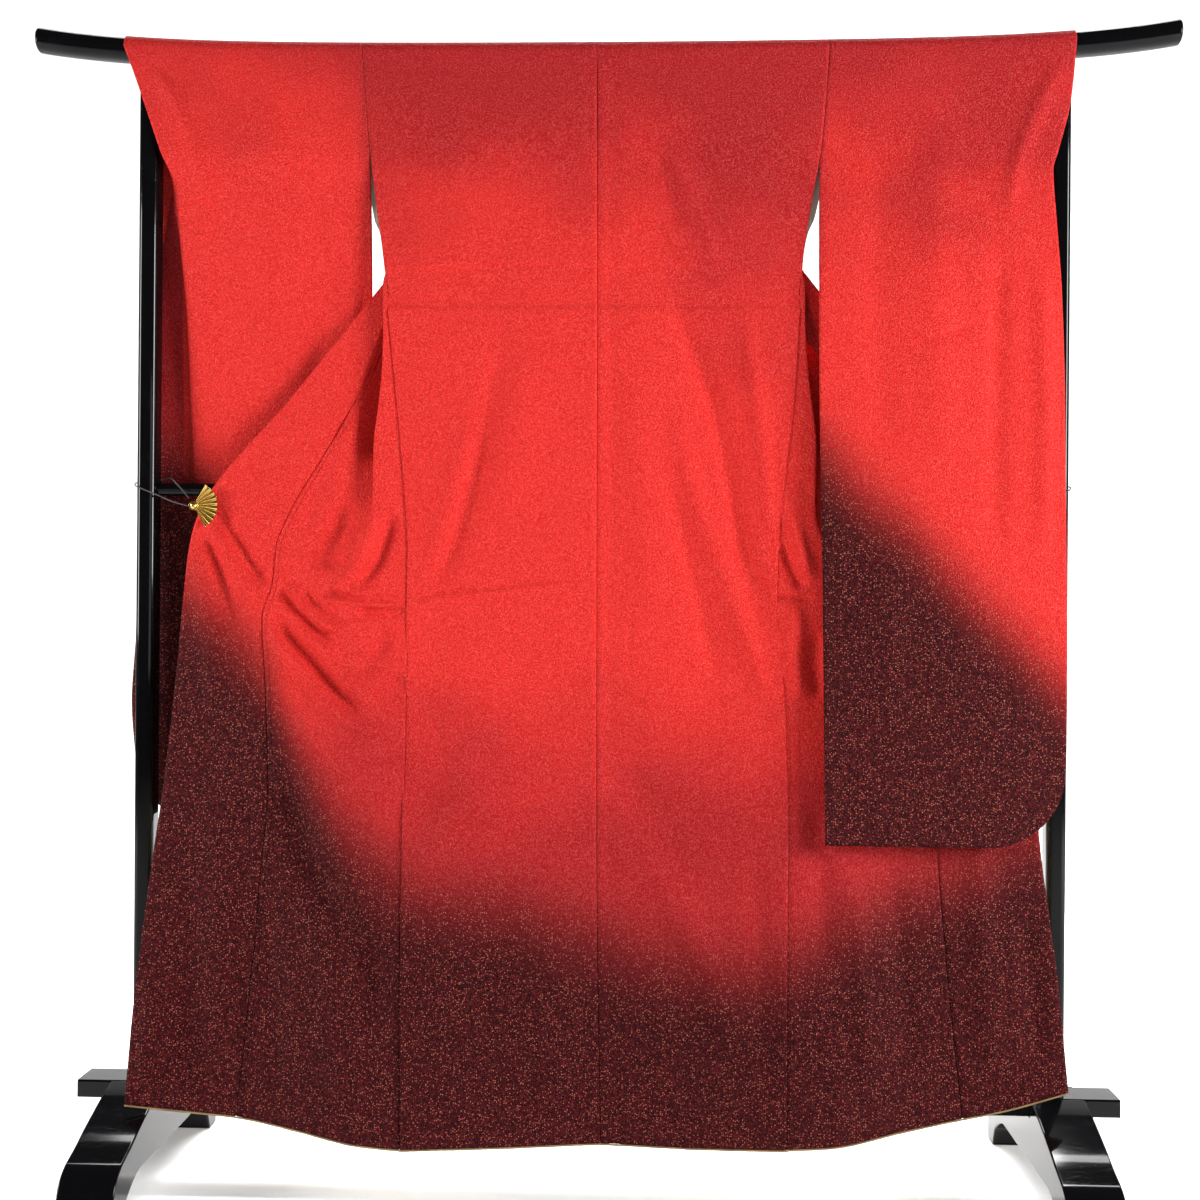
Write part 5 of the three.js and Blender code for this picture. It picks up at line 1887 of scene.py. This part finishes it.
@dataclass(frozen=True)
class BraidedElastic:
    """Thin dark braided elastic."""

    weave: bpy.types.NodeTree
    dark: Colour = (0.020, 0.016, 0.020)
    grey: Colour = (0.075, 0.065, 0.075)

    def build(self) -> bpy.types.Material:
        """Makes the material.

        Returns:
            The material.
        """
        shader = Shader.start("braided_elastic", {"Roughness": 0.75, "Sheen Weight": 0.3})
        weave = shader.use(self.weave, Threads=1600.0)
        shader.give("Base Color", shader.bench.mix(weave["Mask"], self.dark, self.grey))
        shader.bump(weave["Height"], 0.6, 0.0003)
        return shader.material


@dataclass(frozen=True)
class PaleFloor:
    """Plain pale paper for the floor and backdrop."""

    white: Colour = (0.92, 0.92, 0.92)

    def build(self) -> bpy.types.Material:
        """Makes the material.

        Returns:
            The material.
        """
        values = {"Roughness": 0.9, "Specular IOR Level": 0.1, "Base Color": (*self.white, 1.0)}
        return Shader.start("pale_paper", values).material


# ------------------------------------------------------------------ studio
@dataclass(frozen=True)
class Lamp:
    """A soft rectangular lamp: places and size in metres, power in watts, its beam in degrees."""

    name: str
    place: tuple[float, float, float]
    aim: tuple[float, float, float]
    size: tuple[float, float]
    power: float
    spread: float = 180.0

    def build(self) -> None:
        """Hangs the lamp, turned to its aim and unseen by the camera."""
        data = bpy.data.lights.new(self.name, "AREA")
        data.shape = "RECTANGLE"
        data.size, data.size_y = self.size
        data.energy = self.power
        data.spread = math.radians(self.spread)
        lamp = bpy.data.objects.new(self.name, data)
        lamp.location = self.place
        lamp.visible_camera = False
        lamp.rotation_euler = (Vector(self.aim) - Vector(self.place)).to_track_quat("-Z", "Y").to_euler()
        bpy.context.scene.collection.objects.link(lamp)


LAMPS = (
    Lamp("key softbox", (3.9, -1.95, 1.75), (0.0, 0.0, 0.75), (1.7, 1.6), 250),
    Lamp("rim softbox", (-4.0, -1.5, 1.5), (0.0, 0.0, 0.8), (1.2, 1.6), 145),
    Lamp("front softbox", (-0.1, -1.5, 1.0), (0.0, 0.0, 0.86), (0.7, 0.7), 2.8),
    Lamp("backdrop wash", (0.0, 1.3, 3.6), (0.0, 4.6, 1.0), (4.0, 0.8), 170),
    Lamp("floor wash", (0.0, 1.5, 3.3), (0.0, 1.51, 0.0), (3.0, 1.0), 110, 80),
)


@dataclass
class Studio:
    """Plain pale floor that sweeps up into a backdrop, soft lights and the camera, in metres."""

    paper: bpy.types.Material
    half_width: float = 7.0
    near: float = -5.0
    bend: float = 2.4
    far: float = 4.4
    high: float = 6.0
    eye_distance: float = 2.1
    eye_height: float = 0.789
    eye_turn: float = math.radians(2.2)
    eye_roll: float = 0.00785

    def floor(self) -> None:
        """Makes the floor and the backdrop in one sheet."""
        radius = self.far - self.bend
        sweep = [
            (self.bend + radius * math.sin(a), radius * (1 - math.cos(a)))
            for a in np.linspace(0, math.pi / 2, 18)
        ]
        profile = [(self.near, 0.0), *sweep, (self.far, self.high)]
        points = [(x, y, z) for x in (-self.half_width, self.half_width) for y, z in profile]
        n = len(profile)
        mesh = bpy.data.meshes.new("floor")
        mesh.from_pydata(points, [], [(k, n + k, n + k + 1, k + 1) for k in range(n - 1)])
        mesh.materials.append(self.paper)
        mesh.polygons.foreach_set("use_smooth", np.ones(n - 1, bool))
        piece = bpy.data.objects.new("floor", mesh)
        bpy.context.scene.collection.objects.link(piece)

    def camera(self) -> None:
        """Makes the camera, level with the middle of the garment."""
        data = bpy.data.cameras.new("camera")
        data.lens = 45.0
        data.sensor_width = 36.0
        data.shift_x, data.shift_y = 0.0029, 0.0167
        camera = bpy.data.objects.new("camera", data)
        out, back = math.sin(self.eye_turn), -math.cos(self.eye_turn)
        camera.matrix_world = (
            Matrix.Translation((self.eye_distance * out, self.eye_distance * back, self.eye_height))
            @ Matrix.Rotation(self.eye_turn, 4, "Z")
            @ Matrix.Rotation(math.pi / 2, 4, "X")
            @ Matrix.Rotation(self.eye_roll, 4, "Z")
        )
        bpy.context.scene.collection.objects.link(camera)
        bpy.context.scene.camera = camera

    def air(self, filling: float = 0.05, seen: float = 0.9) -> None:
        """Makes the air, which fills shadows a little and looks pale to the camera.

        Args:
            filling: Its strength as light.
            seen: Its strength to the camera.
        """
        world = bpy.data.worlds.new("studio air")
        bpy.context.scene.world = world
        world.use_nodes = True
        bench, white = NodeBench(world.node_tree), (1.0, 1.0, 1.0, 1.0)
        dim = world.node_tree.nodes["Background"]
        dim.inputs["Color"].default_value = white
        dim.inputs["Strength"].default_value = filling
        bright = bench.add("ShaderNodeBackground", {"Color": white, "Strength": seen})
        eye = bench.add("ShaderNodeLightPath").outputs["Is Camera Ray"]
        values = {0: eye, 1: dim.outputs["Background"], 2: bright.outputs["Background"]}
        choice = bench.add("ShaderNodeMixShader", values)
        bench.feed(world.node_tree.nodes["World Output"].inputs["Surface"], choice.outputs["Shader"])

    def build(self) -> None:
        """Sets the whole studio."""
        self.floor()
        self.camera()
        for lamp in LAMPS:
            lamp.build()
        self.air()
        bpy.context.scene.view_settings.view_transform = "Standard"
        LOG.info("studio: floor, %d lamps, camera", len(LAMPS))


def main() -> None:
    """Builds the materials, then the studio, the stand and the garment."""
    logging.basicConfig(level=logging.INFO, format="%(name)s: %(message)s")
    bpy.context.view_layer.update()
    weave, wear = silk_weave(), fine_wear()
    crepe = CrepeSilk(crepe_grain()).build()
    lining = LiningSilk(weave).build()
    hem = HemSilk(weave).build()
    lacquer = BlackLacquer(wear).build()
    gilt = GiltMetal(wear).build()
    elastic = BraidedElastic(weave).build()

    Studio(PaleFloor().build()).build()
    TopBar(lacquer).build()
    StandFrame(lacquer).dress()
    for side in Side:
        Foot(side, lacquer).build()
        BodyLength(f"body_length_{side.word}", side, crepe, lining).build()
        OverlapPanel(f"overlap_panel_{side.word}", side, crepe, lining).build()
        Sleeve(f"long_sleeve_{side.word}", side, crepe, lining).build()
        HemRoll(f"hem_roll_{side.word}", side, hem).build()
        FanClip(side, gilt).build()
        ElasticLoop(side, elastic).build()
    CollarBand("collar_band", Side.RIGHT, crepe, crepe).build()


if __name__ == "__main__":
    main()
